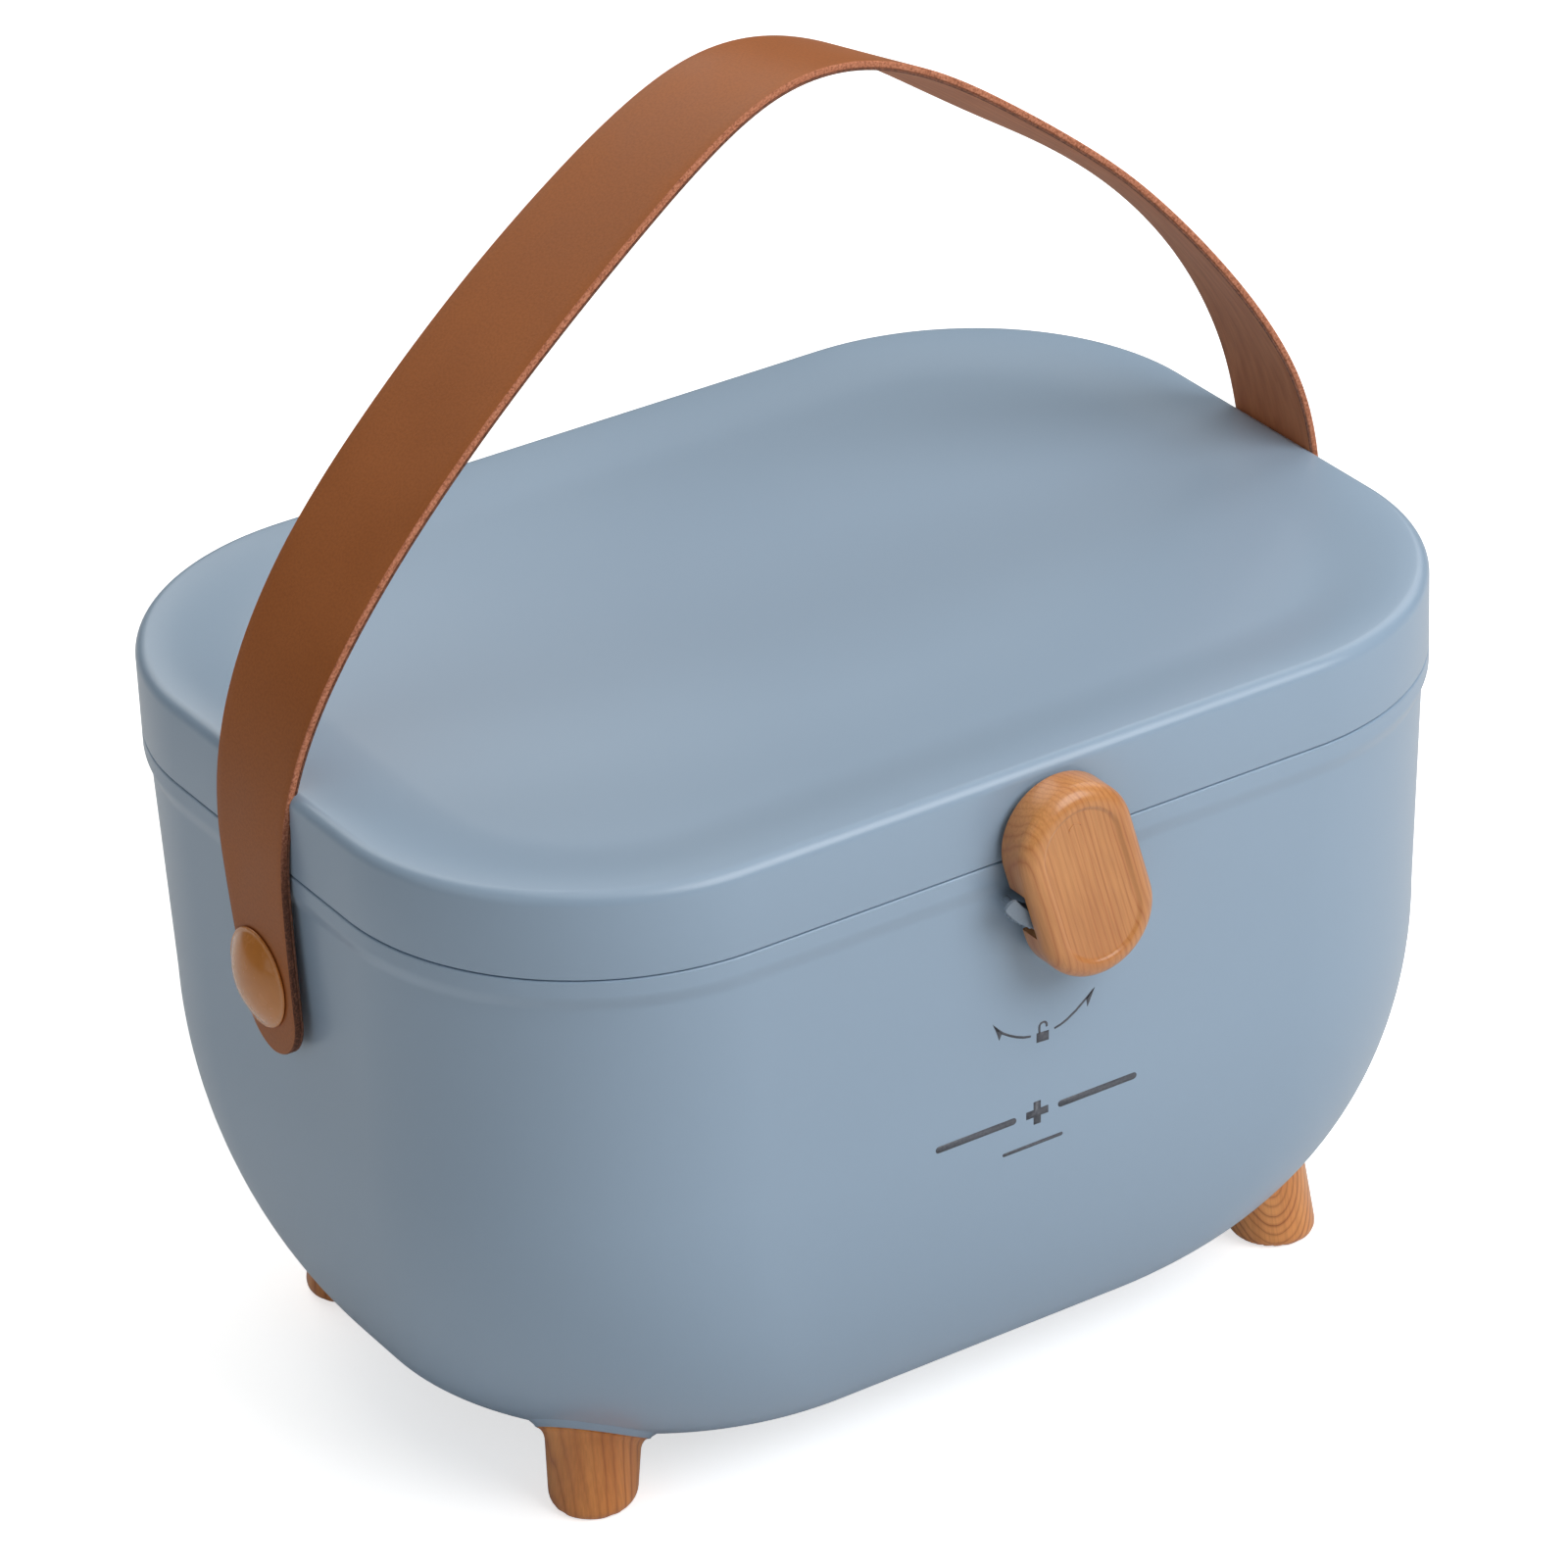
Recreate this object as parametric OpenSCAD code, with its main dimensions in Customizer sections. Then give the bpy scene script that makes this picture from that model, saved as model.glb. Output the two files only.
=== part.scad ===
// Portable medicine box: a round-bottomed tub with a hinged lid, a turn latch,
// a strap handle on two studs, four splayed feet and a lift-out tray.
// The origin is on the table under the middle of the box. The latch faces -Y.

/* [Tub] */
// Length of the rim, left to right
box_l = 270; // [240:1:300]
// Width of the rim, front to back
box_w = 198; // [180:1:220]
// Corner radius of the rim in plan
corner_r = 62; // [54:1:68]
// Height of the seam between tub and lid
seam_z = 154.5; // [146:0.5:166]
// Height of the tub's flat underside
floor_z = 9; // [8:0.5:12]
// Height of the round bottom, up to the straight wall
round_h = 85; // [78:1:88]
// How far the bottom draws in at the ends
draw_l = 35.5; // [28:0.5:40]
// How far the bottom draws in at the front and back
draw_w = 38.5; // [34:0.5:44]
// Growth of the corner radius for each millimetre drawn in
corner_growth = 0.4; // [0.3:0.05:0.6]
// Wall of the tub and the lid
wall = 2.2; // [1.8:0.1:2.6]
// Height of the soft slope under the seam
slope_h = 8.4; // [7.2:0.2:9.6]
// How far that slope leads in from the rim's outline
slope_in = 1; // [0.6:0.1:1.4]
// How far the wall lies inside the rim's outline where the round bottom begins
wall_step = 2.3; // [1.8:0.1:3]
// Depth of the rim's pocket, in which the tray's flange stands
rim_depth = 6.5; // [6:0.5:8]

/* [Lid] */
// Height of the lid above the seam
lid_h = 20.5; // [18:0.5:26]
// Radius of the lid's top edge
edge_r = 3; // [2:0.25:4]
// Depth of the dished top
dish_depth = 1.8; // [1:0.1:2.2]
// Width of the slope that leads into the dish
dish_slope = 22; // [14:1:30]
// Depth of the locating rib below the seam
rib_depth = 3.2; // [2:0.1:4]
// Thickness of the locating rib
rib_t = 1.6; // [1.2:0.1:2]

/* [Hinge] */
// Distance of each hinge's middle from where the corner's curve begins
hinge_in = 13; // [8:1:22]
// Length of one hinge
hinge_len = 36; // [30:1:44]
// Length of the lid's middle knuckle
knuckle_len = 20; // [16:1:24]
// Radius of a knuckle
knuckle_r = 3.2; // [2.8:0.1:3.6]
// Radius of a hinge pin
hinge_pin_r = 1.5; // [1.2:0.1:1.8]

/* [Latch] */
// How far the latch's pivot stands to the right of the box's middle
latch_x = 3; // [0:0.5:4]
// Height of the latch's pivot
latch_z = 158; // [157:0.5:160]
// Width of the knob
knob_w = 29; // [27:0.5:31]
// Length of the knob
knob_len = 48.5; // [46:0.5:52]
// Depth of the knob
knob_depth = 9.7; // [9.4:0.1:11]
// Wall of the knob
knob_wall = 2.4; // [2:0.1:2.8]
// Thickness of the knob's face
knob_face = 2.6; // [2.2:0.1:3]
// Radius of the knob's front edge
knob_edge_r = 2.2; // [1.5:0.1:2.4]
// Turn of the knob from upright, lower end to the right
knob_tilt = 15; // [0:1:18]
// Inner radius of the curved guide rail
rail_r = 17; // [16:0.25:17.5]
// Thickness of the rail's web
rail_web = 1.6; // [1.2:0.1:2]
// Width of the rail's front flange
rail_flange = 3.5; // [2.5:0.1:3.6]
// Half of the angle that the rail spans
rail_angle = 58; // [50:1:60]
// Height of the rail
rail_h = 6.3; // [5:0.1:6.4]
// Radius of the latch screw's shank
latch_screw_r = 1.6; // [1.2:0.1:1.8]
// Distance of the hook from the latch's pivot
hook_r = 27; // [26.5:0.25:28]
// Width of the hook, and of the catch on the tub
hook_w = 5; // [4:0.5:6]

/* [Strap] */
// Height of the studs
stud_z = 124.5; // [118:0.5:130]
// Thickness of the strap's leather
leather_t = 1.5; // [1.2:0.1:1.8]
// Thickness of the strap's lining
lining_t = 0.6; // [0.4:0.1:0.8]
// Width of the strap where its legs are widest
strap_w = 34.5; // [32:0.5:38]
// Width of the strap at the crown
crown_w = 31.5; // [29:0.5:32]
// Width of the strap's round ends
strap_end_w = 25; // [24:0.5:28]
// Height above the studs at which the arch reaches its full width
taper_h = 84; // [60:1:100]
// How far the strap's ends reach below the studs
strap_tip = 15; // [14:0.5:18]
// Height above the studs at which the legs begin to bend
bend_h = 42; // [41:0.5:46]
// Height of the crown above the studs
crown_h = 177.5; // [172:0.5:182]
// How far the crown stands to the left of the middle
crown_left = 6.5; // [0:0.5:8]
// Stiffness of the left leg: how far its bend reaches up
left_reach = 48; // [42:1:54]
// Stiffness of the right leg: how far its bend reaches up
right_reach = 56; // [50:1:62]
// How far the crown stays level to the left
left_crown = 15.5; // [12:0.5:24]
// How far the crown stays level to the right
right_crown = 56; // [48:1:60]
// Radius of a stud's dome in plan
stud_r = 11.5; // [10:0.25:12]
// Height of a stud
stud_h = 3.6; // [3:0.1:4.5]
// Radius of a stud's post
post_r = 3; // [2.5:0.1:3.5]
// Gap that the spacer keeps between wall and strap
spacer_h = 2; // [1.8:0.1:2.6]

/* [Feet] */
// Distance of a foot's bottom from the rim's end
foot_in_l = 41.5; // [37:0.5:48]
// Distance of a foot's bottom from the rim's front or back
foot_in_w = 45; // [41:0.5:50]
// Radius of a foot where it leaves the tub
foot_top_r = 10.9; // [10:0.1:12]
// Radius of a foot at the table
foot_bottom_r = 9.9; // [9:0.1:10.5]
// Outward lean of the feet
foot_lean = 12; // [6:1:13]
// Length of a foot, with the end in its socket
foot_len = 30; // [28:0.5:32]
// Length of a foot's straight end
foot_end = 13; // [11:0.5:14]
// Wall of a foot's socket
socket_wall = 2; // [1.6:0.1:2.4]
// Radius of a foot screw's shank
foot_screw_r = 1.9; // [1.5:0.1:2.2]

/* [Tray] */
// Depth of the tray below its flange
tray_depth = 42; // [34:1:48]
// Wall of the tray
tray_wall = 1.6; // [1.4:0.1:2]
// Thickness of the tray's flange
flange_t = 2; // [1.6:0.1:2.2]
// Height of the carrying wall above the flange
carry_h = 13; // [10:0.5:15]
// Length of the carrying wall
carry_l = 96; // [80:1:120]
// Thickness of the carrying wall
carry_t = 3; // [2.4:0.1:3.6]
// Distance of a divider from the middle
divider_x = 62; // [50:1:76]
// Thickness of a divider
divider_t = 1.6; // [1.2:0.1:2]

/* [Hidden] */
$fn = 48;

blue = [0.58, 0.66, 0.74];
wood = [0.80, 0.56, 0.36];
leather = [0.54, 0.31, 0.19];
steel = [0.72, 0.72, 0.74];
run_gap = 0.05;
part_gap = 0.3;
corner_steps = 12;
round_steps = 10;
half_l = box_l / 2;
half_w = box_w / 2;
ledge_z = seam_z - rim_depth;
slope_z = seam_z - slope_h;
round_z = floor_z + round_h;
foot_x = half_l - foot_in_l;
foot_y = half_w - foot_in_w;
lid_z = seam_z + part_gap;
top_z = seam_z + lid_h;
fit_gap = 0.4;
rib_inset = wall + fit_gap;
hinge_x = half_l - corner_r - hinge_in;
hinge_y = half_w + knuckle_r + 0.6;
knuckle_root = 0.9;
hinge_z = seam_z + part_gap / 2;
spacer_r = 2.2 * post_r;
wall_x = half_l - wall_inset(stud_z + spacer_r);
strap_x = wall_x + spacer_h;
strap_t = leather_t + lining_t;
outer_x = strap_x + strap_t;
crown_z = stud_z + crown_h;
slip_gap = 0.15;
post_head_h = 1.6;
guide_back = part_gap;
guide_t = 0.9;
knob_back = 1.5;
catch_h = 2.6;
catch_z = latch_z - hook_r + 0.5 + catch_h / 2;
stem_r = 1.1;
screw_reach = 11;
hook_h = 2.5;
strut_w = 8;
slot_stop = 5.5;
boss_r = latch_screw_r + 2;
boss_h = 5.5;
hub_r = boss_r + 3;
screw_head_r = latch_z - lid_z - 0.2;
tray_inset = wall_step + wall + post_head_h + 0.6;
tray_r = corner_r + corner_growth * wall_step + wall_step - tray_inset;
tray_z = ledge_z + 0.2;
tray_base = tray_z - tray_depth;

// How far the tub's straight wall lies inside the rim's outline at a height
function wall_inset(z) = slope_in + (wall_step - slope_in) * (slope_z - z) / (slope_z - round_z);

// One ring of a shell: half length, half width, corner radius and height
function ring(inset, extra_l, extra_w, r, z) = [half_l - inset - extra_l, half_w - inset - extra_w, r, z];

// Points of one ring, counter-clockwise seen from above
function ring_points(g) = [
    for (q = [0:3])
        for (i = [0:corner_steps])
            let (a = 90 * q + 90 * i / corner_steps,
                r = min(g[2], g[1] - 0.5),
                sx = (q == 0 || q == 3) ? 1 : -1,
                sy = (q < 2) ? 1 : -1)
            [sx * (g[0] - r) + r * cos(a), sy * (g[1] - r) + r * sin(a), g[3]]
];

// A closed solid through a list of rings, with a flat cap on the first and the last ring
module shell(rings) {
    n = 4 * (corner_steps + 1);
    last = len(rings) - 1;
    points = [for (g = rings) each ring_points(g)];
    sides = [
        for (k = [0:last - 1])
            for (i = [0:n - 1])
                let (j = (i + 1) % n, a = k * n + i, b = k * n + j, c = a + n, d = b + n)
                each [[a, d, b], [a, c, d]]
    ];
    first_cap = [for (i = [0:n - 1]) i];
    last_cap = [for (i = [n - 1:-1:0]) last * n + i];
    polyhedron(points, concat(sides, [first_cap, last_cap]));
}

// Rings of the round bottom, from the flat floor up, for a skin lying t inside the outer one
function bottom_rings(t) = [
    for (i = [0:round_steps])
        let (a = 90 * i / round_steps,
            in_l = draw_l * (1 - sin(a)),
            in_w = draw_w * (1 - sin(a)))
        ring(wall_step + t, in_l, in_w,
            corner_r + corner_growth * (wall_step + in_l) - t,
            floor_z + t + (round_h - t) * (1 - cos(a)))
];

function reversed(list) = [for (i = [len(list) - 1:-1:0]) list[i]];

// Rings of the soft slope under the seam
function slope_rings() = [
    for (i = [0:7])
        let (t = i / 7, inset = slope_in * (1 - t * t * (3 - 2 * t)))
        ring(inset, 0, 0, corner_r + corner_growth * inset, slope_z + slope_h * t)
];

module tub_skin() {
    inner = wall_step + wall;
    shell(concat(
        bottom_rings(0),
        slope_rings(),
        [ring(wall, 0, 0, corner_r - wall, seam_z),
            ring(wall, 0, 0, corner_r - wall, ledge_z),
            ring(inner, 0, 0, corner_r + corner_growth * wall_step - wall, ledge_z)],
        reversed(bottom_rings(wall))));
}

// Puts a foot's own frame in place: the origin on the table, +Z up the leaning axis
module at_foot(sx, sy) {
    translate([sx * foot_x, sy * foot_y, 0])
        rotate([0, 0, atan2(-sy, -sx)])
            rotate([0, foot_lean, 0])
                children();
}

module each_foot() {
    for (sx = [-1, 1], sy = [-1, 1]) at_foot(sx, sy) children();
}

// A cylinder along Y from y1 to y2, centred on the latch's pivot
module pivot_round(r, y1, y2) {
    translate([latch_x, -half_w - y1, latch_z]) rotate([90, 0, 0]) cylinder(r = r, h = y2 - y1);
}

// A cylinder along Y on the catch's stem, from y1 to y2 off the rim's front
module catch_round(r, y1, y2) {
    translate([latch_x, -half_w - y1, catch_z]) rotate([90, 0, 0]) cylinder(r = r, h = y2 - y1);
}

// A cylinder along X from x1 out to x2, on the studs' axis, on the side sx
module stud_round(sx, r, x1, x2) {
    translate([sx * x1, 0, stud_z]) rotate([0, sx * 90, 0]) cylinder(r = r, h = x2 - x1);
}

// One knuckle: a round with a short arm to the wall, above or below the seam
module knuckle(x, len, side) {
    translate([x, hinge_y, hinge_z]) {
        rotate([0, 90, 0]) cylinder(r = knuckle_r, h = len);
        translate([0, half_w - knuckle_root - hinge_y, side > 0 ? part_gap / 2 : -knuckle_r])
            cube([len, hinge_y - half_w + knuckle_root, knuckle_r - part_gap / 2]);
    }
}

module hinge_bores() {
    for (s = [-1, 1])
        translate([s * hinge_x - hinge_len, hinge_y, hinge_z])
            rotate([0, 90, 0]) cylinder(r = hinge_pin_r + run_gap, h = 2 * hinge_len);
}

module body_shell() {
    outer_len = (hinge_len - knuckle_len) / 2 - 0.2;
    socket_r = foot_top_r + run_gap;
    color(blue) difference() {
        union() {
            tub_skin();
            for (s = [-1, 1]) {
                knuckle(s * hinge_x - hinge_len / 2, outer_len, -1);
                knuckle(s * hinge_x + hinge_len / 2 - outer_len, outer_len, -1);
            }
            intersection() {
                each_foot() cylinder(r = socket_r + socket_wall, h = foot_len + socket_wall);
                shell(bottom_rings(wall / 2));
            }
        }
        each_foot() {
            translate([0, 0, -1]) cylinder(r = socket_r, h = foot_len + 1);
            cylinder(r = foot_screw_r + run_gap, h = foot_len + 3 * socket_wall);
        }
        for (s = [-1, 1]) stud_round(s, post_r + run_gap, wall_x - 3 * wall, wall_x + 1);
        catch_round(stem_r + run_gap, -3 * wall, 1);
        hinge_bores();
    }
}

// Half of the lid's section: distance in from the outer face, and height
function lid_section() = concat(
    [[0, lid_z], [0, top_z - edge_r]],
    [for (a = [15:15:75]) [edge_r * (1 - cos(a)), top_z - edge_r * (1 - sin(a))]],
    [[edge_r, top_z], [edge_r + 1.5, top_z]],
    [for (i = [1:7])
        [edge_r + 1.5 + dish_slope * i / 8, top_z - dish_depth * (1 - cos(180 * i / 8)) / 2]],
    [[edge_r + 1.5 + dish_slope, top_z - dish_depth], [corner_r, top_z - dish_depth],
        [corner_r, top_z - dish_depth - wall], [wall + 3, top_z - dish_depth - wall],
        [wall, top_z - dish_depth - wall - 3], [wall, lid_z]]);

// The locating rib's section, which hooks in from the skirt and hangs inside the tub's rim
function rib_section() = [[wall - 0.5, lid_z], [wall - 0.5, lid_z + rib_t],
    [rib_inset + rib_t, lid_z + rib_t], [rib_inset + rib_t, seam_z - rib_depth],
    [rib_inset, seam_z - rib_depth], [rib_inset, lid_z]];

// Sweeps a section round a rectangle with round corners. The section gives the
// distance in from the outline and the height, and reaches in as far as r.
module sweep_round(hl, hw, r, section) {
    for (q = [0:3])
        translate([(q == 0 || q == 3 ? 1 : -1) * (hl - r), (q < 2 ? 1 : -1) * (hw - r), 0])
            rotate([0, 0, 90 * q])
                rotate_extrude(angle = 90) polygon([for (p = section) [r - p[0], p[1]]]);
    for (s = [0, 180]) {
        if (hw > r)
            rotate([0, 0, s]) translate([hl - r, hw - r, 0]) rotate([90, 0, 0])
                linear_extrude(2 * (hw - r)) polygon([for (p = section) [r - p[0], p[1]]]);
        if (hl > r)
            rotate([0, 0, s]) translate([-(hl - r), hw - r, 0]) rotate([90, 0, 90])
                linear_extrude(2 * (hl - r)) polygon([for (p = section) [r - p[0], p[1]]]);
    }
}

module lid_shell() {
    color(blue) difference() {
        union() {
            sweep_round(half_l, half_w, corner_r, lid_section());
            intersection() {
                sweep_round(half_l, half_w, corner_r, rib_section());
                translate([-half_l, -half_w, seam_z - rib_depth])
                    cube([box_l, box_w - corner_r, 2 * rib_depth]);
            }
            translate([corner_r - half_l, corner_r - half_w, top_z - dish_depth - wall])
                cube([box_l - 2 * corner_r, box_w - 2 * corner_r, wall]);
            for (s = [-1, 1]) knuckle(s * hinge_x - knuckle_len / 2, knuckle_len, 1);
        }
        hinge_bores();
        pivot_round(latch_screw_r + run_gap, -wall - 1, 1);
        pivot_round(screw_head_r + fit_gap, -12, -wall);
    }
}

// A wedge from the pivot, symmetric about straight down, in the latch's plane
module down_wedge(a, r) {
    polygon([[0, 0], [-r * sin(a), -r * cos(a)], [-r, -2 * r], [r, -2 * r], [r * sin(a), -r * cos(a)]]);
}

// The plane of the latch, with +Z out of the front, from y1 to y2 in front of the lid
module latch_plane(y1, y2) {
    translate([latch_x, -half_w - y1, latch_z]) rotate([90, 0, 0]) linear_extrude(y2 - y1) children();
}

// The rail's arc, with a thickness t outside its inner radius
module rail_arc(t) {
    intersection() {
        difference() {
            circle(rail_r + t);
            circle(rail_r);
        }
        down_wedge(rail_angle, 2 * rail_r);
    }
}

module latch_guide() {
    plate_r = knob_w / 2 - knob_wall - 1.6;
    front = guide_back + guide_t;
    rail_front = guide_back + rail_h;
    color(blue) difference() {
        union() {
            difference() {
                pivot_round(plate_r, 0, front);
                translate([latch_x - knob_w, -half_w - guide_back, latch_z - 2 * knob_w])
                    cube([2 * knob_w, guide_back + 1, 2 * knob_w - latch_z + lid_z]);
            }
            latch_plane(guide_back, front)
                translate([-strut_w / 2, -rail_r - rail_web / 2]) square([strut_w, rail_r]);
            latch_plane(guide_back, rail_front) rail_arc(rail_web);
            latch_plane(rail_front - guide_t, rail_front) rail_arc(rail_flange);
            pivot_round(boss_r, 0, boss_h);
        }
        pivot_round(latch_screw_r + run_gap, -1, boss_h + 1);
    }
}

// Section of the knob's outer form: distance in from the side, and height off the back
function knob_section() = concat(
    [[knob_w / 2, 0], [0, 0], [0, knob_depth - knob_edge_r]],
    [for (a = [15:15:75])
        [knob_edge_r * (1 - cos(a)), knob_depth - knob_edge_r * (1 - sin(a))]],
    [[knob_edge_r, knob_depth], [knob_edge_r + 3, knob_depth - 0.8],
        [knob_w / 2, knob_depth - 0.8]]);

module latch_knob() {
    shift = (knob_len - knob_w) / 2;
    inner_r = knob_w / 2 - knob_wall;
    hollow = knob_depth - knob_face;
    rail_top = guide_back + rail_h - knob_back;
    pocket = boss_h - knob_back + 0.2;
    color(wood) translate([latch_x, -half_w - knob_back, latch_z]) rotate([90, 0, 0]) rotate([0, 0, knob_tilt])
        difference() {
            union() {
                difference() {
                    translate([0, -shift, 0]) rotate([0, 0, 90])
                        sweep_round(knob_len / 2, knob_w / 2, knob_w / 2, knob_section());
                    translate([0, 0, -1]) linear_extrude(hollow + 1) {
                        circle(inner_r);
                        translate([0, -2 * shift]) circle(inner_r);
                        translate([-inner_r, -2 * shift]) square([2 * inner_r, 2 * shift]);
                    }
                    translate([-knob_w, -rail_r - part_gap, -1])
                        cube([2 * knob_w, rail_r - slot_stop, rail_top + part_gap + 1]);
                }
                translate([0, 0, guide_back + guide_t + fit_gap - knob_back])
                    cylinder(r = hub_r, h = knob_depth - 2);
                translate([-hook_w / 2, -hook_r - hook_h, part_gap - knob_back])
                    cube([hook_w, hook_h, hollow + knob_back + 0.5]);
            }
            translate([0, 0, -1]) cylinder(r = boss_r + run_gap, h = pocket + 1);
            cylinder(r = latch_screw_r + 0.02, h = knob_depth - 1.8);
        }
}

module latch_catch() {
    seat = -wall_inset(catch_z + catch_h / 2);
    inner = -wall_step - wall;
    front = knob_back - 0.2;
    color(blue) {
        translate([latch_x - hook_w / 2, -half_w - front, catch_z - catch_h / 2])
            cube([hook_w, front - seat, catch_h]);
        catch_round(stem_r, inner - 0.5, seat + 0.5);
        catch_round(1.7 * stem_r, inner - 1, inner);
    }
}

module latch_washer() {
    color(steel) difference() {
        pivot_round(screw_head_r, -wall - 0.8, -wall);
        pivot_round(latch_screw_r + run_gap, -wall - 2, 0);
    }
}

module latch_screw() {
    color(steel) {
        pivot_round(latch_screw_r, -wall - 2, knob_back + knob_depth - 2);
        pivot_round(screw_head_r, -wall - 2.8, -wall - 0.95);
    }
}

// A point of the smooth bend that leaves a towards b and arrives at d from c
function bend(a, b, c, d, t) =
    pow(1 - t, 3) * a + 3 * t * pow(1 - t, 2) * b + 3 * t * t * (1 - t) * c + pow(t, 3) * d;

// The direction of that bend
function bend_way(a, b, c, d, t) =
    pow(1 - t, 2) * (b - a) + 2 * t * (1 - t) * (c - b) + t * t * (d - c);

// Points of that bend at a distance to its left, with its start left out
function bend_points(a, b, c, d, inset, steps) = [
    for (i = [1:steps])
        let (t = i / steps, way = bend_way(a, b, c, d, t))
        bend(a, b, c, d, t) + inset * [-way.y, way.x] / norm(way)
];

// Outline of the strap from its right end over the crown to its left end, at a distance in
// from its outer face
function whole_arch(inset) =
    let (right = [outer_x, stud_z + bend_h],
        left = [-outer_x, stud_z + bend_h],
        crown = [-crown_left, crown_z])
    concat(
        [[outer_x - inset, stud_z - 2 * strap_tip], right - [inset, 0]],
        bend_points(right, right + [0, right_reach], crown + [right_crown, 0], crown, inset, 20),
        bend_points(crown, crown - [left_crown, 0], left + [0, left_reach], left, inset, 20),
        [[inset - outer_x, stud_z - 2 * strap_tip]]);

// Half of the strap's outline from the side, from a round end's middle up past the crown
function strap_side(end_z, full_z) = concat(
    [[strap_end_w / 2, end_z]],
    [for (i = [0:6]) let (t = i / 6)
        [(strap_w + (crown_w - strap_w) * t * t) / 2, full_z + (crown_z - full_z) * t]],
    [[crown_w / 2, crown_z + strap_tip]]);

function mirrored(list) = [for (i = [len(list) - 1:-1:0]) [-list[i][0], list[i][1]]];

// One ply of the strap between two depths, cut to the strap's tapered side outline
module strap_ply(from, to) {
    full_z = stud_z + taper_h;
    end_z = stud_z - strap_tip + strap_end_w / 2;
    difference() {
        intersection() {
            rotate([90, 0, 0]) translate([0, 0, -strap_w])
                linear_extrude(2 * strap_w) polygon(concat(whole_arch(from), reversed(whole_arch(to))));
            translate([-box_l, 0, 0]) rotate([90, 0, 90]) linear_extrude(2 * box_l) {
                translate([0, end_z]) circle(strap_end_w / 2);
                polygon(concat(strap_side(end_z, full_z), mirrored(strap_side(end_z, full_z))));
            }
        }
        stud_round(-1, post_r + run_gap, half_l - 10, half_l + 20);
        stud_round(1, post_r + run_gap, half_l - 10, half_l + 20);
    }
}

module strap() {
    color(leather) strap_ply(0, leather_t);
}

module strap_lining() {
    color([0.40, 0.28, 0.22]) strap_ply(leather_t, strap_t);
}

module stud(s) {
    base_x = outer_x + slip_gap;
    stud_rim = 0.6;
    dome_r = (stud_r * stud_r + stud_h * stud_h) / (2 * stud_h);
    color([0.68, 0.44, 0.24]) mirror([s + 1, 0, 0]) difference() {
        union() {
            intersection() {
                stud_round(-1, stud_r, base_x, base_x + stud_h + 1);
                translate([dome_r - base_x - stud_rim - stud_h, 0, stud_z]) sphere(dome_r, $fn = 96);
            }
            stud_round(-1, stud_r, base_x, base_x + stud_rim);
        }
        stud_round(-1, post_r + 0.02, base_x - 1, outer_x + stud_h - 1.4);
    }
}

module stud_post(s) {
    inner_x = half_l - wall_step - wall;
    color(steel) {
        stud_round(s, post_r, inner_x - 1, outer_x + stud_h - 1.5);
        stud_round(s, 2 * post_r, inner_x - post_head_h, inner_x);
    }
}

module spacer(s) {
    color(steel) difference() {
        stud_round(s, spacer_r, wall_x, strap_x - slip_gap);
        stud_round(s, post_r + run_gap, wall_x - 1, strap_x + 1);
    }
}

module foot(sx, sy) {
    color(wood) difference() {
        at_foot(sx, sy) difference() {
            union() {
                translate([0, 0, foot_len - foot_end]) cylinder(r = foot_top_r, h = foot_end);
                cylinder(r1 = foot_bottom_r, r2 = foot_top_r, h = foot_len - foot_end);
                translate([0, 0, -foot_bottom_r / 2]) cylinder(r = foot_bottom_r, h = foot_bottom_r / 2);
            }
            translate([0, 0, foot_len - screw_reach - 1])
                cylinder(r = foot_screw_r + 0.02, h = screw_reach + 2);
        }
        translate([sx * foot_x - 2 * foot_top_r, sy * foot_y - 2 * foot_top_r, -foot_top_r])
            cube([4 * foot_top_r, 4 * foot_top_r, foot_top_r]);
    }
}

module foot_screws() {
    color(steel) each_foot() {
        translate([0, 0, foot_len - screw_reach])
            cylinder(r = foot_screw_r, h = screw_reach + 1 + socket_wall);
        translate([0, 0, foot_len + socket_wall]) cylinder(r = 2 * foot_screw_r, h = foot_screw_r);
    }
}

module hinge_pin(s) {
    color(steel) translate([s * hinge_x - hinge_len / 2 - 0.5, hinge_y, hinge_z])
        rotate([0, 90, 0]) cylinder(r = hinge_pin_r, h = hinge_len + 1);
}

// A plate in the shape of the rim, drawn in by an inset
module rim_plate(inset, r, h) {
    linear_extrude(h) {
        for (sx = [-1, 1], sy = [-1, 1])
            translate([sx * (half_l - inset - r), sy * (half_w - inset - r)]) circle(r, $fn = 96);
        square([2 * (half_l - inset - r), 2 * (half_w - inset)], center = true);
        square([2 * (half_l - inset), 2 * (half_w - inset - r)], center = true);
    }
}

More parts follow.
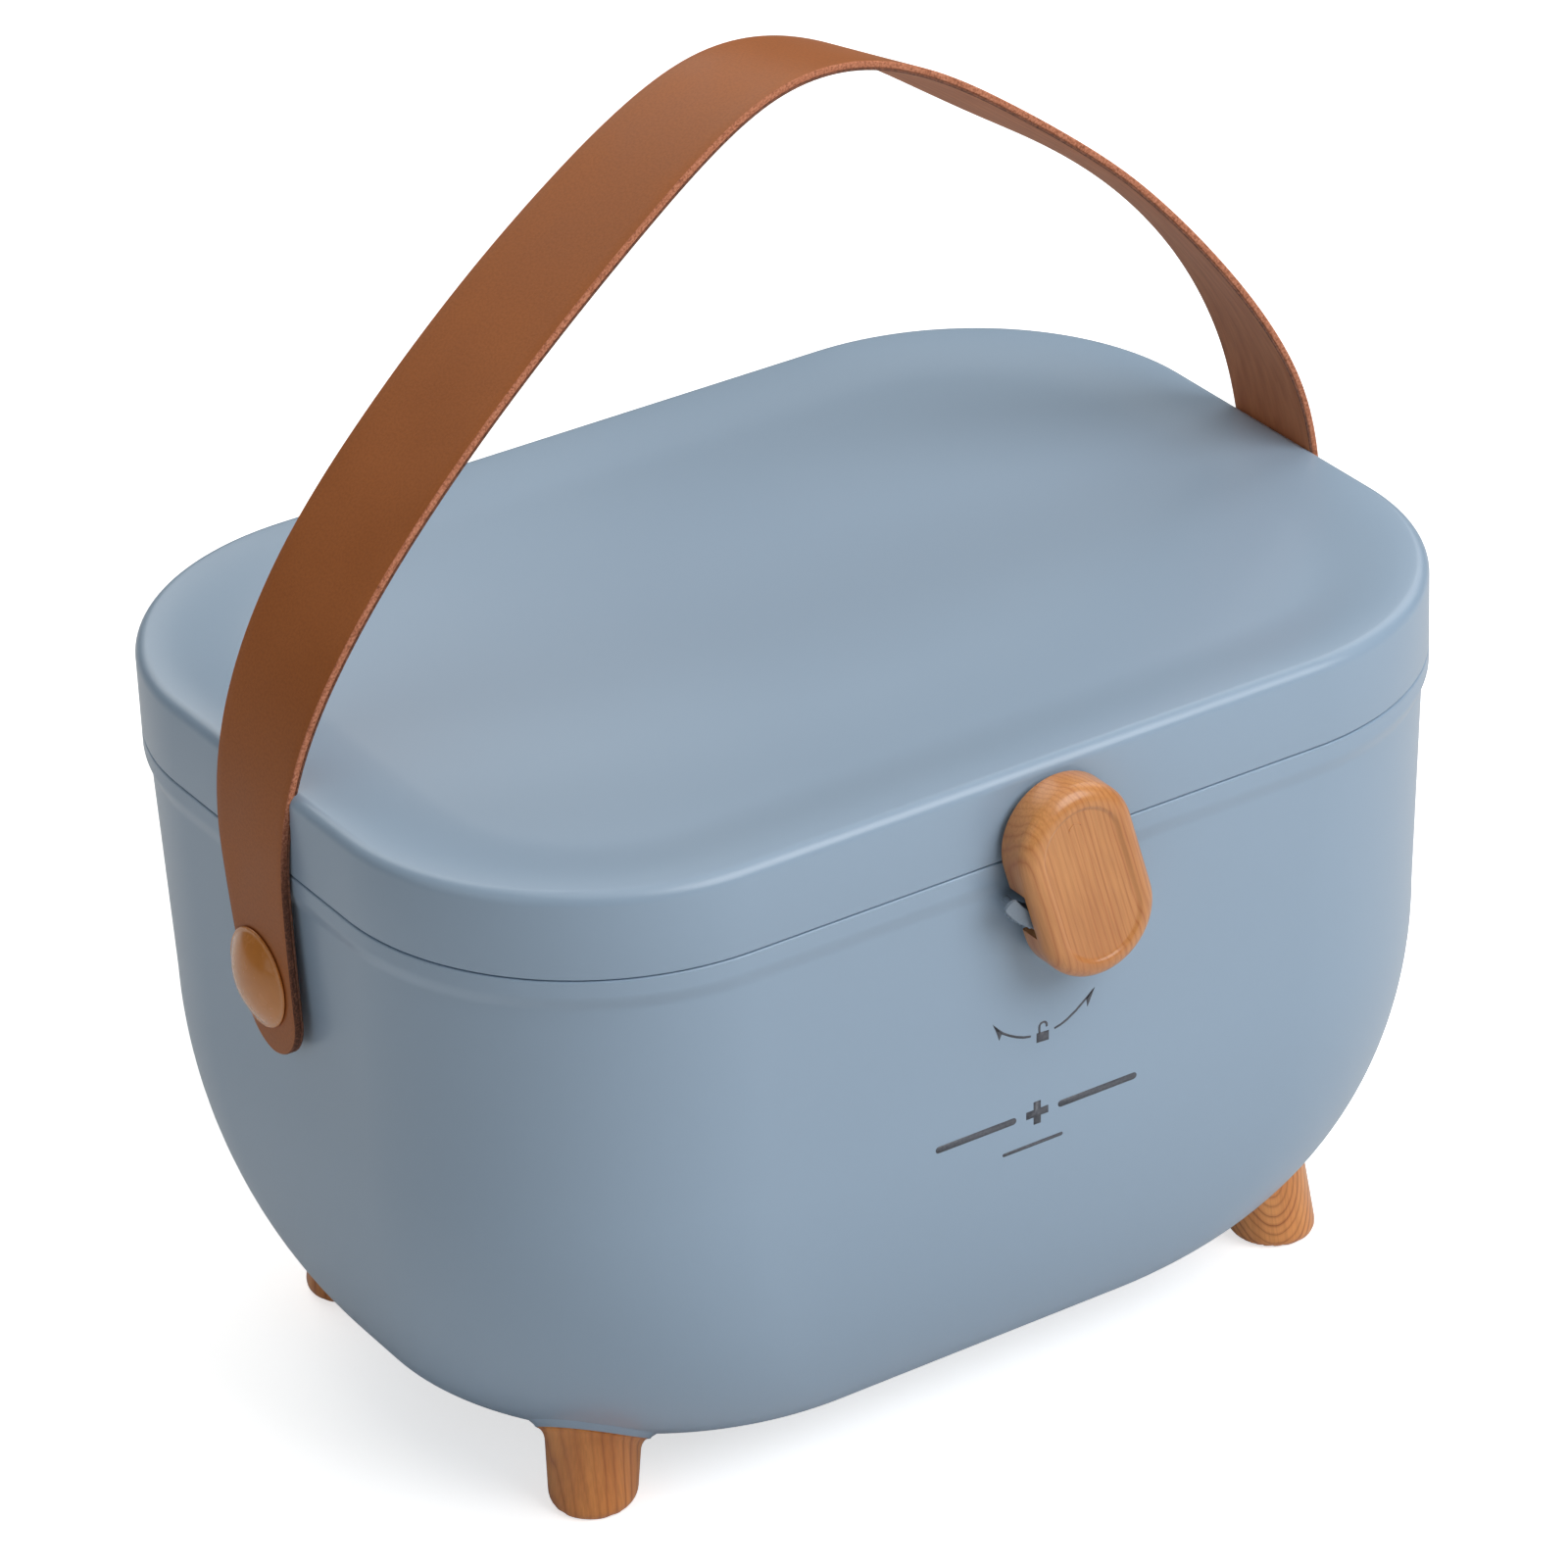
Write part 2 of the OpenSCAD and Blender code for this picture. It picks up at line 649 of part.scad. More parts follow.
module tray() {
    flange_inset = wall + fit_gap;
    grip_r = 10;
    grip_bar = 5;
    carry_top = tray_z + flange_t + carry_h;
    strip_w = 1.2;
    strip_l = 5;
    color([0.90, 0.91, 0.92]) {
        difference() {
            union() {
                translate([0, 0, tray_base]) rim_plate(tray_inset, tray_r, tray_depth + flange_t);
                translate([0, 0, tray_z]) rim_plate(flange_inset, corner_r - flange_inset, flange_t);
            }
            translate([0, 0, tray_base + tray_wall])
                rim_plate(tray_inset + tray_wall, tray_r - tray_wall, tray_depth + flange_t);
        }
        difference() {
            translate([-carry_t / 2, -carry_l / 2, tray_base + tray_wall])
                cube([carry_t, carry_l, carry_top - tray_base - tray_wall]);
            for (s = [-1, 1])
                translate([0, s * carry_l / 4, carry_top - grip_r - grip_bar])
                    rotate([0, 90, 0]) cylinder(r = grip_r, h = 2 * carry_t, center = true);
            translate([0, 0, carry_top - grip_r - grip_bar])
                cube([2 * carry_t, carry_l / 2, 2 * grip_r], center = true);
        }
        for (s = [-1, 1], t = [-1, 1], u = [-1, 1])
            translate([s * divider_x + t * (divider_t + strip_w + 2 * part_gap) / 2,
                u * (half_w - tray_inset - tray_wall - strip_l / 2), tray_base + tray_wall])
                translate([-strip_w / 2, -strip_l / 2, 0])
                    cube([strip_w, strip_l, tray_depth - tray_wall]);
    }
}

module divider(s) {
    half = half_w - tray_inset - tray_wall - part_gap;
    color([0.84, 0.86, 0.88]) translate([s * divider_x - divider_t / 2, -half, tray_base + tray_wall])
        cube([divider_t, 2 * half, tray_depth - tray_wall - 4]);
}

body_shell();
lid_shell();
latch_guide();
latch_knob();
latch_screw();
latch_washer();
latch_catch();
strap();
strap_lining();
stud(-1);  // left_stud
stud(1);  // right_stud
stud_post(-1);  // left_stud_post
stud_post(1);  // right_stud_post
spacer(-1);  // left_spacer
spacer(1);  // right_spacer
foot(-1, -1);  // front_left_foot
foot(1, -1);  // front_right_foot
foot(-1, 1);  // rear_left_foot
foot(1, 1);  // rear_right_foot
foot_screws();
hinge_pin(-1);  // left_hinge_pin
hinge_pin(1);  // right_hinge_pin
tray();
divider(-1);  // left_divider
divider(1);  // right_divider
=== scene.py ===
# A portable medicine box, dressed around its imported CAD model.
# Everything is in metres, in the model's frame: the table is z = 0 and the latch faces -Y.
from math import acos, asin, atan2, cos, hypot, pi, radians, sin, sqrt

import bmesh
import bpy
from mathutils import Matrix, Vector


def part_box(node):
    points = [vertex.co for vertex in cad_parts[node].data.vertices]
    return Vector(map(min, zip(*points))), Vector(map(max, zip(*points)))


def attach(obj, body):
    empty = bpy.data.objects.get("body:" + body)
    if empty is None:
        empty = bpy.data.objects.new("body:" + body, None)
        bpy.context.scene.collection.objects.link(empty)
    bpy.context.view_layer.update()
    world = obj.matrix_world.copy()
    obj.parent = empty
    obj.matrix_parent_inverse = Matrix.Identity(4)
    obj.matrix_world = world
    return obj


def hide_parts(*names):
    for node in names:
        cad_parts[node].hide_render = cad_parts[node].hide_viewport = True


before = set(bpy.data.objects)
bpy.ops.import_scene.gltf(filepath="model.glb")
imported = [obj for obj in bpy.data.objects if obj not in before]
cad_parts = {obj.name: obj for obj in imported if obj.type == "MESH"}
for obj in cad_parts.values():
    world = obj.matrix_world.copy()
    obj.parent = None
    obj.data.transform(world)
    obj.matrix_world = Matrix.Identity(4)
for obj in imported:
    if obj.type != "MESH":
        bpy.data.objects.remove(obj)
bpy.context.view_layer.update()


# The view. The camera stands where the photograph was taken from: in front of the box,
# well to the left of the latch and above the lid, through a long lens with a slight roll.
AIM = Vector((-0.00211, 0.0, 0.12656))
AZIMUTH = radians(-31.97)
ELEVATION = radians(29.16)
ROLL = radians(-2.42)
DISTANCE = 1.6699
LENS = 170.8
SENSOR = 36


def placed(name, data):
    """An object that holds some data, linked into the scene."""
    made = bpy.data.objects.new(name, data)
    bpy.context.scene.collection.objects.link(made)
    return made


view_back = Vector((sin(AZIMUTH) * cos(ELEVATION), -cos(AZIMUTH) * cos(ELEVATION), sin(ELEVATION)))
level = Vector((cos(AZIMUTH), sin(AZIMUTH), 0))
upright = view_back.cross(level)
view_right = level * cos(ROLL) + upright * sin(ROLL)
view_up = upright * cos(ROLL) - level * sin(ROLL)
lens = bpy.data.cameras.new("camera")
lens.sensor_fit = "HORIZONTAL"
lens.sensor_width = SENSOR
lens.lens = LENS
lens.clip_start = 0.05
lens.clip_end = 50
camera = placed("camera", lens)
camera.matrix_world = Matrix.Translation(AIM + DISTANCE * view_back) @ Matrix(
    (view_right, view_up, view_back)).transposed().to_4x4()
bpy.context.scene.camera = camera
bpy.context.scene.view_settings.view_transform = "Standard"


# The light. A broad soft lamp stands before the latch, a little to the right, a second one
# behind the box and weaker ones to the right, over the lid and to the left. The left side stays
# in shade, as in the photograph, and the room itself is pale and dim.
def lamp(name, azimuth, height, distance, width, power, tone=(1.0, 1.0, 1.0)):
    """An area lamp that looks at the middle of the box."""
    light = bpy.data.lights.new(name, "AREA")
    light.size = width
    light.energy = power
    light.color = tone
    a = radians(azimuth)
    h = radians(height)
    away = Vector((sin(a) * cos(h), -cos(a) * cos(h), sin(h)))
    to_box = away.to_track_quat("Z", "Y").to_matrix().to_4x4()
    placed(name, light).matrix_world = Matrix.Translation(AIM + distance * away) @ to_box


lamp("key_lamp", 22, 40, 1.15, 0.8, 9.0)
lamp("right_lamp", 112, 38, 1.5, 1.0, 4.8)
lamp("top_lamp", 0, 80, 1.5, 1.2, 4.7, (1.0, 0.96, 0.88))
lamp("back_lamp", 180, 45, 1.6, 1.2, 8.8, (1.0, 0.97, 0.92))
lamp("left_lamp", -80, 20, 1.6, 1.2, 2.3)


def add(owner, kind, settings=(), **inputs):
    """A node in a material or a tree. A shader node's kind goes without its ShaderNode. An input
    is given by its name, or by its number as i0, i1 and so on, and holds a value or a socket."""
    tree = getattr(owner, "node_tree", owner)
    made = tree.nodes.new(kind if "Node" in kind else "ShaderNode" + kind)
    for name, value in dict(settings).items():
        setattr(made, name, value)
    for name, value in inputs.items():
        name = name.replace("_", " ")
        socket = made.inputs[int(name[1:])] if name[0] == "i" and name[1:].isdigit() else made.inputs[name]
        if isinstance(value, bpy.types.NodeSocket):
            tree.links.new(value, socket)
        else:
            socket.default_value = value
    return made


ROOM_LEVEL = 0.09
room = bpy.data.worlds.new("room")
room.use_nodes = True
room_light = room.node_tree.nodes["Background"]
room_light.inputs["Color"].default_value = (0.95, 0.975, 1.0, 1)
room_light.inputs["Strength"].default_value = ROOM_LEVEL
backdrop = add(room, "Background", Color=(1, 1, 1, 1))
room_mix = add(room, "MixShader", Fac=add(room, "LightPath").outputs["Is Camera Ray"],
               i1=room_light.outputs[0], i2=backdrop.outputs[0])
room.node_tree.links.new(room_mix.outputs[0], room.node_tree.nodes["World Output"].inputs["Surface"])
bpy.context.scene.world = room


# The floor is a plain white table top. What the camera sees of it is lifted to the white of
# the photograph's ground, and the soft shadow of the box stays on it.
def finish(name, colour, roughness, **sockets):
    """A material with one Principled shader, and what its sockets hold."""
    material = bpy.data.materials.new(name)
    material.use_nodes = True
    material.diffuse_color = (*colour, 1)
    shader = material.node_tree.nodes["Principled BSDF"]
    for socket, value in {"Base_Color": (*colour, 1), "Roughness": roughness, **sockets}.items():
        shader.inputs[socket.replace("_", " ")].default_value = value
    return material


def reckon(owner, operation, *values):
    """The result of a sum on numbers or sockets."""
    return add(owner, "Math", {"operation": operation},
               **{"i" + str(n): value for n, value in enumerate(values)}).outputs[0]


def drive(material, socket, source):
    """Joins a socket of the material's Principled shader to a source."""
    shader = material.node_tree.nodes["Principled BSDF"]
    material.node_tree.links.new(source, shader.inputs[socket])


def places(material, turn=(0, 0, 0), shift=(0, 0, 0)):
    """Object coordinates in a frame of their own, which is moved and turned."""
    where = add(material, "TexCoord").outputs["Object"]
    return add(material, "Mapping", {"vector_type": "TEXTURE"}, Vector=where, Location=shift,
               Rotation=turn).outputs["Vector"]


def noise(material, scale, detail=2.0, where=None, **inputs):
    """A noise over the object, or over the coordinates given."""
    return add(material, "TexNoise", Vector=where or places(material), Scale=scale, Detail=detail,
               **inputs).outputs["Fac"]


def bump(material, height, distance, strength=1.0):
    """A bump of that distance in metres, which reaches the shader's Normal."""
    bumps = add(material, "Bump", Height=height, Distance=distance, Strength=strength)
    drive(material, "Normal", bumps.outputs["Normal"])


FLOOR_HALF = 3.0
FLOOR_LIFT = 0.66
table_white = finish("table_white", (0.82, 0.82, 0.82), 0.6, Emission_Color=(1, 1, 1, 1))
bump(table_white, noise(table_white, 300.0), 0.00002)
seen = add(table_white, "LightPath").outputs["Is Camera Ray"]
drive(table_white, "Emission Strength", reckon(table_white, "MULTIPLY", seen, FLOOR_LIFT))
floor_mesh = bpy.data.meshes.new("floor")
floor_mesh.from_pydata([(x * FLOOR_HALF, y * FLOOR_HALF, 0) for x, y in ((-1, -1), (1, -1), (1, 1), (-1, 1))],
                       [], [(0, 1, 2, 3)])
floor_mesh.materials.append(table_white)
floor = placed("floor", floor_mesh)


# The tub is one moulding in blue-grey plastic with a satin gloss. A soft slope leads in under
# the seam, the wall below it has a little draft, and it closes in a very round bottom. Inside,
# a ledge carries the tray's flange.
lid_low, lid_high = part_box("lid_shell")
HALF_L = lid_high.x
HALF_W = -lid_low.y
SEAM = 0.1545
CORNER = 0.062
GROWTH = 0.4
FLOOR_Z = 0.009
ROUND_H = 0.085
DRAW_L = 0.0355
DRAW_W = 0.0385
WALL = 0.0022
WALL_STEP = 0.0023
SLOPE_IN = 0.001
SLOPE_H = 0.0084
SLOPE_Z = SEAM - SLOPE_H
SLOPE_BEND = 0.6
LEDGE = 0.0065
RIM_EDGE = 0.0004
CORNER_STEPS = 40
BOTTOM_STEPS = 56
SLOPE_STEPS = 20
LEAST_SPAN = 0.0005



def ramp(material, factor, *stops):
    """A colour ramp through stops of place and colour. A plain number stands for a grey."""
    made = add(material, "ValToRGB", Fac=factor)
    band = made.color_ramp
    while len(band.elements) < len(stops):
        band.elements.new(1)
    for element, (place, colour) in zip(band.elements, stops):
        element.position = place
        element.color = (*colour, 1) if isinstance(colour, tuple) else (colour, colour, colour, 1)
    return made.outputs["Color"]


plastic_blue = finish("plastic_blue", (0.318, 0.430, 0.560), 0.34, Coat_Weight=0.15, Coat_Roughness=0.22)
cloudy = noise(plastic_blue, 9.0)
drive(plastic_blue, "Base Color", ramp(plastic_blue, cloudy, (0.3, (0.312, 0.423, 0.553)),
                                       (0.7, (0.324, 0.437, 0.567))))
drive(plastic_blue, "Roughness", ramp(plastic_blue, cloudy, (0.3, 0.32), (0.7, 0.37)))
bump(plastic_blue, noise(plastic_blue, 2600.0, 3.0), 0.000010, 0.5)


def rounded(half_l, half_w, r, z):
    """Points of a rectangle with round corners, counter-clockwise seen from above."""
    points = []
    for quarter, (sx, sy) in enumerate(((1, 1), (-1, 1), (-1, -1), (1, -1))):
        for i in range(CORNER_STEPS + 1):
            a = pi / 2 * (quarter + i / CORNER_STEPS)
            points.append((sx * (half_l - r) + r * cos(a), sy * (half_w - r) + r * sin(a), z))
    return points


def loft(rings, closed=False):
    """Points and faces of a skin through rings. The ends are capped, or closed joins them."""
    count = len(rings[0])
    points = [p for ring in rings for p in ring]
    faces = []
    spans = len(rings) if closed else len(rings) - 1
    for k in range(spans):
        low = k * count
        high = (k + 1) % len(rings) * count
        for i in range(count):
            j = (i + 1) % count
            faces.append((low + i, low + j, high + j, high + i))
    if not closed:
        faces.append(tuple(reversed(range(count))))
        faces.append(tuple(range(len(points) - count, len(points))))
    return points, faces


def smoothed(mesh, sharp):
    """Shades a mesh smoothly. Edges that turn by more than the sharp angle in degrees stay crisp."""
    mesh.polygons.foreach_set("use_smooth", [True] * len(mesh.polygons))
    if sharp:
        mesh.set_sharp_from_angle(angle=radians(sharp))
    return mesh


def shaped(name, points, faces, material, sharp=None, out=True):
    """A smooth mesh. With out, its faces are turned outwards first."""
    mesh = bpy.data.meshes.new(name)
    mesh.from_pydata([tuple(p) for p in points], [], faces)
    if out:
        work = bmesh.new()
        work.from_mesh(mesh)
        bmesh.ops.remove_doubles(work, verts=work.verts, dist=1e-7)
        bmesh.ops.recalc_face_normals(work, faces=work.faces)
        work.to_mesh(mesh)
        work.free()
    mesh.materials.append(material)
    return smoothed(mesh, sharp)


def seat(mesh, body="tub", name=None):
    """An object that holds a mesh and rides on a body. It has the mesh's
    name unless it is given its own."""
    made = placed(name or mesh.name, mesh)
    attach(made, body)
    return made


def bottom_size(a, skin_in):
    """Half length, half width, corner radius and height of the round bottom at an angle."""
    in_l = DRAW_L * (1 - sin(a))
    in_w = DRAW_W * (1 - sin(a))
    half_l = HALF_L - WALL_STEP - skin_in - in_l
    half_w = HALF_W - WALL_STEP - skin_in - in_w
    r = min(CORNER + GROWTH * (WALL_STEP + in_l) - skin_in, half_w - LEAST_SPAN)
    return half_l, half_w, r, FLOOR_Z + skin_in + (ROUND_H - skin_in) * (1 - cos(a))


def lip_ring(inset, z, growth=-1):
    """A ring at the rim, by how far it lies inside the rim's outline."""
    return rounded(HALF_L - inset, HALF_W - inset, CORNER + growth * inset, z)


def edge_round(inset, z, r, start, end, steps=4):
    """Pairs of inset and height round an edge, with its centre at inset and z."""
    turn = [start + (end - start) * i / steps for i in range(steps + 1)]
    return [(inset + r * cos(radians(a)), z + r * sin(radians(a))) for a in turn]


bottom_angles = [pi / 2 * i / BOTTOM_STEPS for i in range(BOTTOM_STEPS + 1)]
tub_rings = [rounded(*bottom_size(a, 0)) for a in bottom_angles]
for i in range(SLOPE_STEPS):
    t = i / SLOPE_STEPS
    bent = min(t / SLOPE_BEND, 1)
    inset = SLOPE_IN * (1 - bent * bent * (3 - 2 * bent))
    tub_rings.append(lip_ring(inset, SLOPE_Z + (SLOPE_H - RIM_EDGE) * t, GROWTH))
rim_profile = edge_round(RIM_EDGE, SEAM - RIM_EDGE, RIM_EDGE, 180, 90)
rim_profile += edge_round(WALL - RIM_EDGE, SEAM - RIM_EDGE, RIM_EDGE, 90, 0) + [(WALL, SEAM - LEDGE)]
tub_rings += [lip_ring(inset, z) for inset, z in rim_profile]
tub_rings.append(rounded(*bottom_size(pi / 2, WALL)[:3], SEAM - LEDGE))
tub_rings += [rounded(*bottom_size(a, WALL)) for a in reversed(bottom_angles)]
tub = seat(shaped("tub", *loft(tub_rings), plastic_blue, out=False))
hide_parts("body_shell")


# Two hinges stand on the tub's straight rear wall. Each has two outer knuckles on the tub, and
# the lid's knuckle turns between them on a steel pin.
HINGE_X = HALF_L - CORNER - 0.013
SEAM_HALF = 0.00015
HINGE_Z = SEAM + SEAM_HALF
HINGE_LEN = 0.036
KNUCKLE_LEN = 0.020
KNUCKLE_R = 0.0032
KNUCKLE_GAP = 0.0002
HINGE_Y = HALF_W + KNUCKLE_R + 0.0006
KNUCKLE_ROOT = 0.0009
KNUCKLE_EDGE = 0.0003
KNUCKLE_STEPS = 22

copies_tree = bpy.data.node_groups.new("copies_on_a_grid", "GeometryNodeTree")
COPY_INPUTS = (("Shape", "Geometry"), ("Grid Length", "Float"), ("Grid Width", "Float"), ("Columns", "Int"),
               ("Rows", "Int"), ("Centre", "Vector"), ("Lean", "Float"), ("Fan Step", "Float"),
               ("Face Middle", "Float"), ("Finish", "Material"))
for socket_name, kind in COPY_INPUTS:
    socket = copies_tree.interface.new_socket(socket_name, in_out="INPUT", socket_type="NodeSocket" + kind)
    if kind == "Int":
        socket.default_value = 1
copies_tree.interface.new_socket("Shape", in_out="OUTPUT", socket_type="NodeSocketGeometry")


def step(kind, **inputs):
    """A node of the copies' tree."""
    return add(copies_tree, kind, **inputs)


given = step("NodeGroupInput").outputs
grid = step("GeometryNodeMeshGrid", Size_X=given["Grid Length"], Size_Y=given["Grid Width"],
            Vertices_X=given["Columns"], Vertices_Y=given["Rows"])
spot = step("SeparateXYZ", Vector=step("GeometryNodeInputPosition").outputs[0])
back_x, back_y = (reckon(copies_tree, "MULTIPLY", spot.outputs[axis], -1.0) for axis in "XY")
turn = reckon(copies_tree, "MULTIPLY", reckon(copies_tree, "ARCTAN2", back_y, back_x), given["Face Middle"])
fan = reckon(copies_tree, "MULTIPLY_ADD", step("GeometryNodeInputIndex").outputs[0],
             given["Fan Step"], given["Lean"])
facing = step("CombineXYZ", X=0.0, Y=fan, Z=turn)
set_out = step("GeometryNodeInstanceOnPoints", Points=grid.outputs["Mesh"], Instance=given["Shape"],
               Rotation=facing.outputs[0])
moved = step("GeometryNodeTransform", Geometry=set_out.outputs[0], Translation=given["Centre"])
solid = step("GeometryNodeRealizeInstances", Geometry=moved.outputs[0])
covered = step("GeometryNodeSetMaterial", Geometry=solid.outputs[0], Material=given["Finish"])
step("NodeGroupOutput", Shape=covered.outputs[0])


def baked(maker):
    """The mesh that an object's modifiers make. The object itself is taken away."""
    bpy.context.view_layer.update()
    made = bpy.data.meshes.new_from_object(maker.evaluated_get(bpy.context.evaluated_depsgraph_get()))
    maker.modifiers.clear()
    bpy.data.objects.remove(maker)
    return made


def copies(name, mesh, body, slot, **values):
    """The tree's copies of a small mesh, made one plain mesh that rides on a body."""
    maker = placed(name + "_maker", mesh)
    modifier = maker.modifiers.new("copies", "NODES")
    modifier.node_group = copies_tree
    values["Finish"] = mesh.materials[0]
    for item in copies_tree.interface.items_tree:
        key = item.name.replace(" ", "_")
        if item.in_out == "INPUT" and key in values:
            modifier[item.identifier] = values[key]
    return seat(baked(maker), body, name)


def knuckle(x0, x1, side):
    """Points and faces of a knuckle from x0 to x1, with its arm below or above the seam."""
    root = HALF_W - KNUCKLE_ROOT - HINGE_Y
    shrink = 1 - KNUCKLE_EDGE / KNUCKLE_R
    outline = [(root, -KNUCKLE_R), (0, -KNUCKLE_R)]
    meet = asin(SEAM_HALF / KNUCKLE_R)
    for i in range(1, KNUCKLE_STEPS + 1):
        a = -pi / 2 + (1.5 * pi + meet) * i / KNUCKLE_STEPS
        outline.append((KNUCKLE_R * cos(a), KNUCKLE_R * sin(a)))
    outline.append((root, -SEAM_HALF))
    rings = []
    for x, scale in ((x0, shrink), (x0 + KNUCKLE_EDGE, 1), (x1 - KNUCKLE_EDGE, 1), (x1, shrink)):
        rings.append([(x, y if y < -KNUCKLE_R else y * scale, -side * z * scale) for y, z in outline])
    return loft(rings)


def joined(*shapes):
    """Points and faces of several shapes together."""
    points = []
    faces = []
    for more_points, more_faces in shapes:
        start = len(points)
        points += more_points
        faces += [tuple(start + v for v in face) for face in more_faces]
    return points, faces


at_hinges = {"Grid_Length": 2 * HINGE_X, "Columns": 2, "Centre": (0.0, HINGE_Y, HINGE_Z)}
outer_len = (HINGE_LEN - KNUCKLE_LEN) / 2 - KNUCKLE_GAP
outer_pair = shaped("outer_knuckles", *joined(
    knuckle(-HINGE_LEN / 2, outer_len - HINGE_LEN / 2, -1),
    knuckle(HINGE_LEN / 2 - outer_len, HINGE_LEN / 2, -1)), plastic_blue, 35)
copies("tub_knuckles", outer_pair, "tub", "tub_plastic", **at_hinges)


def stretched(material, where, scale):
    """Coordinates, each multiplied by its own scale."""
    return add(material, "Mapping", Vector=where, Scale=scale).outputs["Vector"]


plated = finish("plated_steel", (0.60, 0.60, 0.61), 0.32, Metallic=1.0)
brushed = noise(plated, 1200.0, 3.0, stretched(plated, places(plated), (0.08, 1, 1)))
drive(plated, "Roughness", ramp(plated, brushed, (0.3, 0.25), (0.7, 0.42)))
bump(plated, brushed, 0.000004, 0.5)


def dress(material, *names):
    """Gives CAD nodes another material."""
    for name in names:
        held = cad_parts[name].data.materials
        held.clear()
        held.append(material)


dress(plated, "left_hinge_pin", "right_hinge_pin")


# The lid is a moulding of the same plastic. A small round edge runs round its top, the top
# dips inside it as a shallow dish, and a rib hangs inside the tub's rim at the front and sides.
LID_LOW = SEAM + 0.0003
LID_EDGE = 0.003
DISH = 0.0018
DISH_SLOPE = 0.022
LID_TOP = lid_high.z
RIB_T = 0.0016
RIB_IN = WALL + 0.0004
RIB_LOW = SEAM - 0.0032
RIB_BACK = HALF_W - CORNER
RIB_HOOK = 0.0005
LIP_EDGE = 0.0004
DISH_IN = LID_EDGE + 0.0015
DISH_STEPS = 24
ROOF = LID_TOP - DISH - WALL
ROOF_EDGE = 0.003


def dip(inset, z, run, drop, steps):
    """Pairs of inset and height down the soft slope of a dish."""
    return [(inset + run * i / steps, z - drop * (1 - cos(pi * i / steps)) / 2) for i in range(steps + 1)]


lid_profile = edge_round(LIP_EDGE, LID_LOW + LIP_EDGE, LIP_EDGE, 270, 180)
lid_profile += edge_round(LID_EDGE, LID_TOP - LID_EDGE, LID_EDGE, 180, 90, 10)
lid_profile += dip(DISH_IN, LID_TOP, DISH_SLOPE, DISH, DISH_STEPS)
under_profile = [(DISH_IN + DISH_SLOPE, ROOF)]
under_profile += edge_round(WALL + ROOF_EDGE, ROOF - ROOF_EDGE, ROOF_EDGE, 90, 180, 6)
under_profile += edge_round(WALL - LIP_EDGE, LID_LOW + LIP_EDGE, LIP_EDGE, 0, -90)


def hollow_cap(outer, inner):
    """A cap with a hollow under it: two stacks of rings that meet at their open edge, with a
    flat face across the last outer ring and one across the first inner ring."""
    count = len(outer[0])
    points, faces = loft(outer + inner, closed=True)
    skip = (len(outer) - 1) * count
    faces = faces[:skip] + faces[skip + count:]
    faces.append(tuple(range(skip, skip + count)))
    faces.append(tuple(reversed(range(skip + count, skip + 2 * count))))
    return points, faces


lid_rings = [[lip_ring(inset, z) for inset, z in profile] for profile in (lid_profile, under_profile)]
lid = seat(shaped("lid", *hollow_cap(*lid_rings), plastic_blue, out=False), "lid")
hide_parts("lid_shell")

rib_out = RIB_IN + RIB_T
rib_section = ((WALL - RIB_HOOK, LID_LOW + 0.0002), (WALL - RIB_HOOK, LID_LOW + RIB_T),
               (rib_out, LID_LOW + RIB_T), (rib_out, RIB_LOW + LIP_EDGE), (rib_out - LIP_EDGE, RIB_LOW),
               (RIB_IN + LIP_EDGE, RIB_LOW), (RIB_IN, RIB_LOW + LIP_EDGE), (RIB_IN, LID_LOW + 0.0002))
rib_lines = []
for inset, z in rib_section:
    front_half = lip_ring(inset, z)[2 * (CORNER_STEPS + 1):]
    rib_lines.append([(inset - HALF_L, RIB_BACK, z)] + front_half + [(HALF_L - inset, RIB_BACK, z)])
rib = shaped("lid_rib", *loft([list(station) for station in zip(*rib_lines)]), plastic_blue, 30)
seat(rib, "lid")

lid_knuckle = shaped("lid_knuckle", *knuckle(-KNUCKLE_LEN / 2, KNUCKLE_LEN / 2, 1), plastic_blue, 35)
copies("lid_knuckles", lid_knuckle, "lid", "tub_plastic", **at_hinges)


# The feet are four short turned pegs with a printed wood grain. Each leans outwards, narrows
# towards the table, has a soft lower edge, widens in a small flare under the tub, and is
# screwed up into its cup from inside.
FOOT_X = HALF_L - 0.0415
FOOT_Y = HALF_W - 0.045
FOOT_LEAN = radians(12)
FOOT_TOP_R = 0.0109
FOOT_LOW_R = 0.0099
FOOT_LEN = 0.030
FOOT_END = 0.013
FOOT_EDGE = 0.0030
FOOT_ROLL = 0.8
FOOT_SINK = 0.0038
FLARE_SEAT = 0.6
CUP_WALL = 0.002
CUP_EDGE = 0.0006
FLARE_W = 0.0018
FLARE_H = 0.0030
FLARE_MOST = 0.995
BOSS_DROP = 0.0012
BOSS_PROFILE = ((0.0022, -0.0010), (0.0018, -0.0002), (0.0013, 0.0002), (0.0008, 0.0005), (0.0004, 0.0008),
                (0.0001, BOSS_DROP), (-0.0006, BOSS_DROP + 0.0001), (-0.0012, -0.0006))
AXIS_R = 0.0001
TURNS = 72
PEG_STEPS = 34
PEG_CROWDING = 1.6
SKIN_GUESS = 0.02
GRAIN_LINE = (0.400, 0.085, 0.013)


def mixed(material, factor, first, second, way="MIX"):
    """A mix of two colours, each a colour or a socket."""
    first, second = ((*tone, 1) if isinstance(tone, tuple) else tone for tone in (first, second))
    return add(material, "Mix", {"data_type": "RGBA", "blend_type": way}, i0=factor, i6=first,
               i7=second).outputs[2]


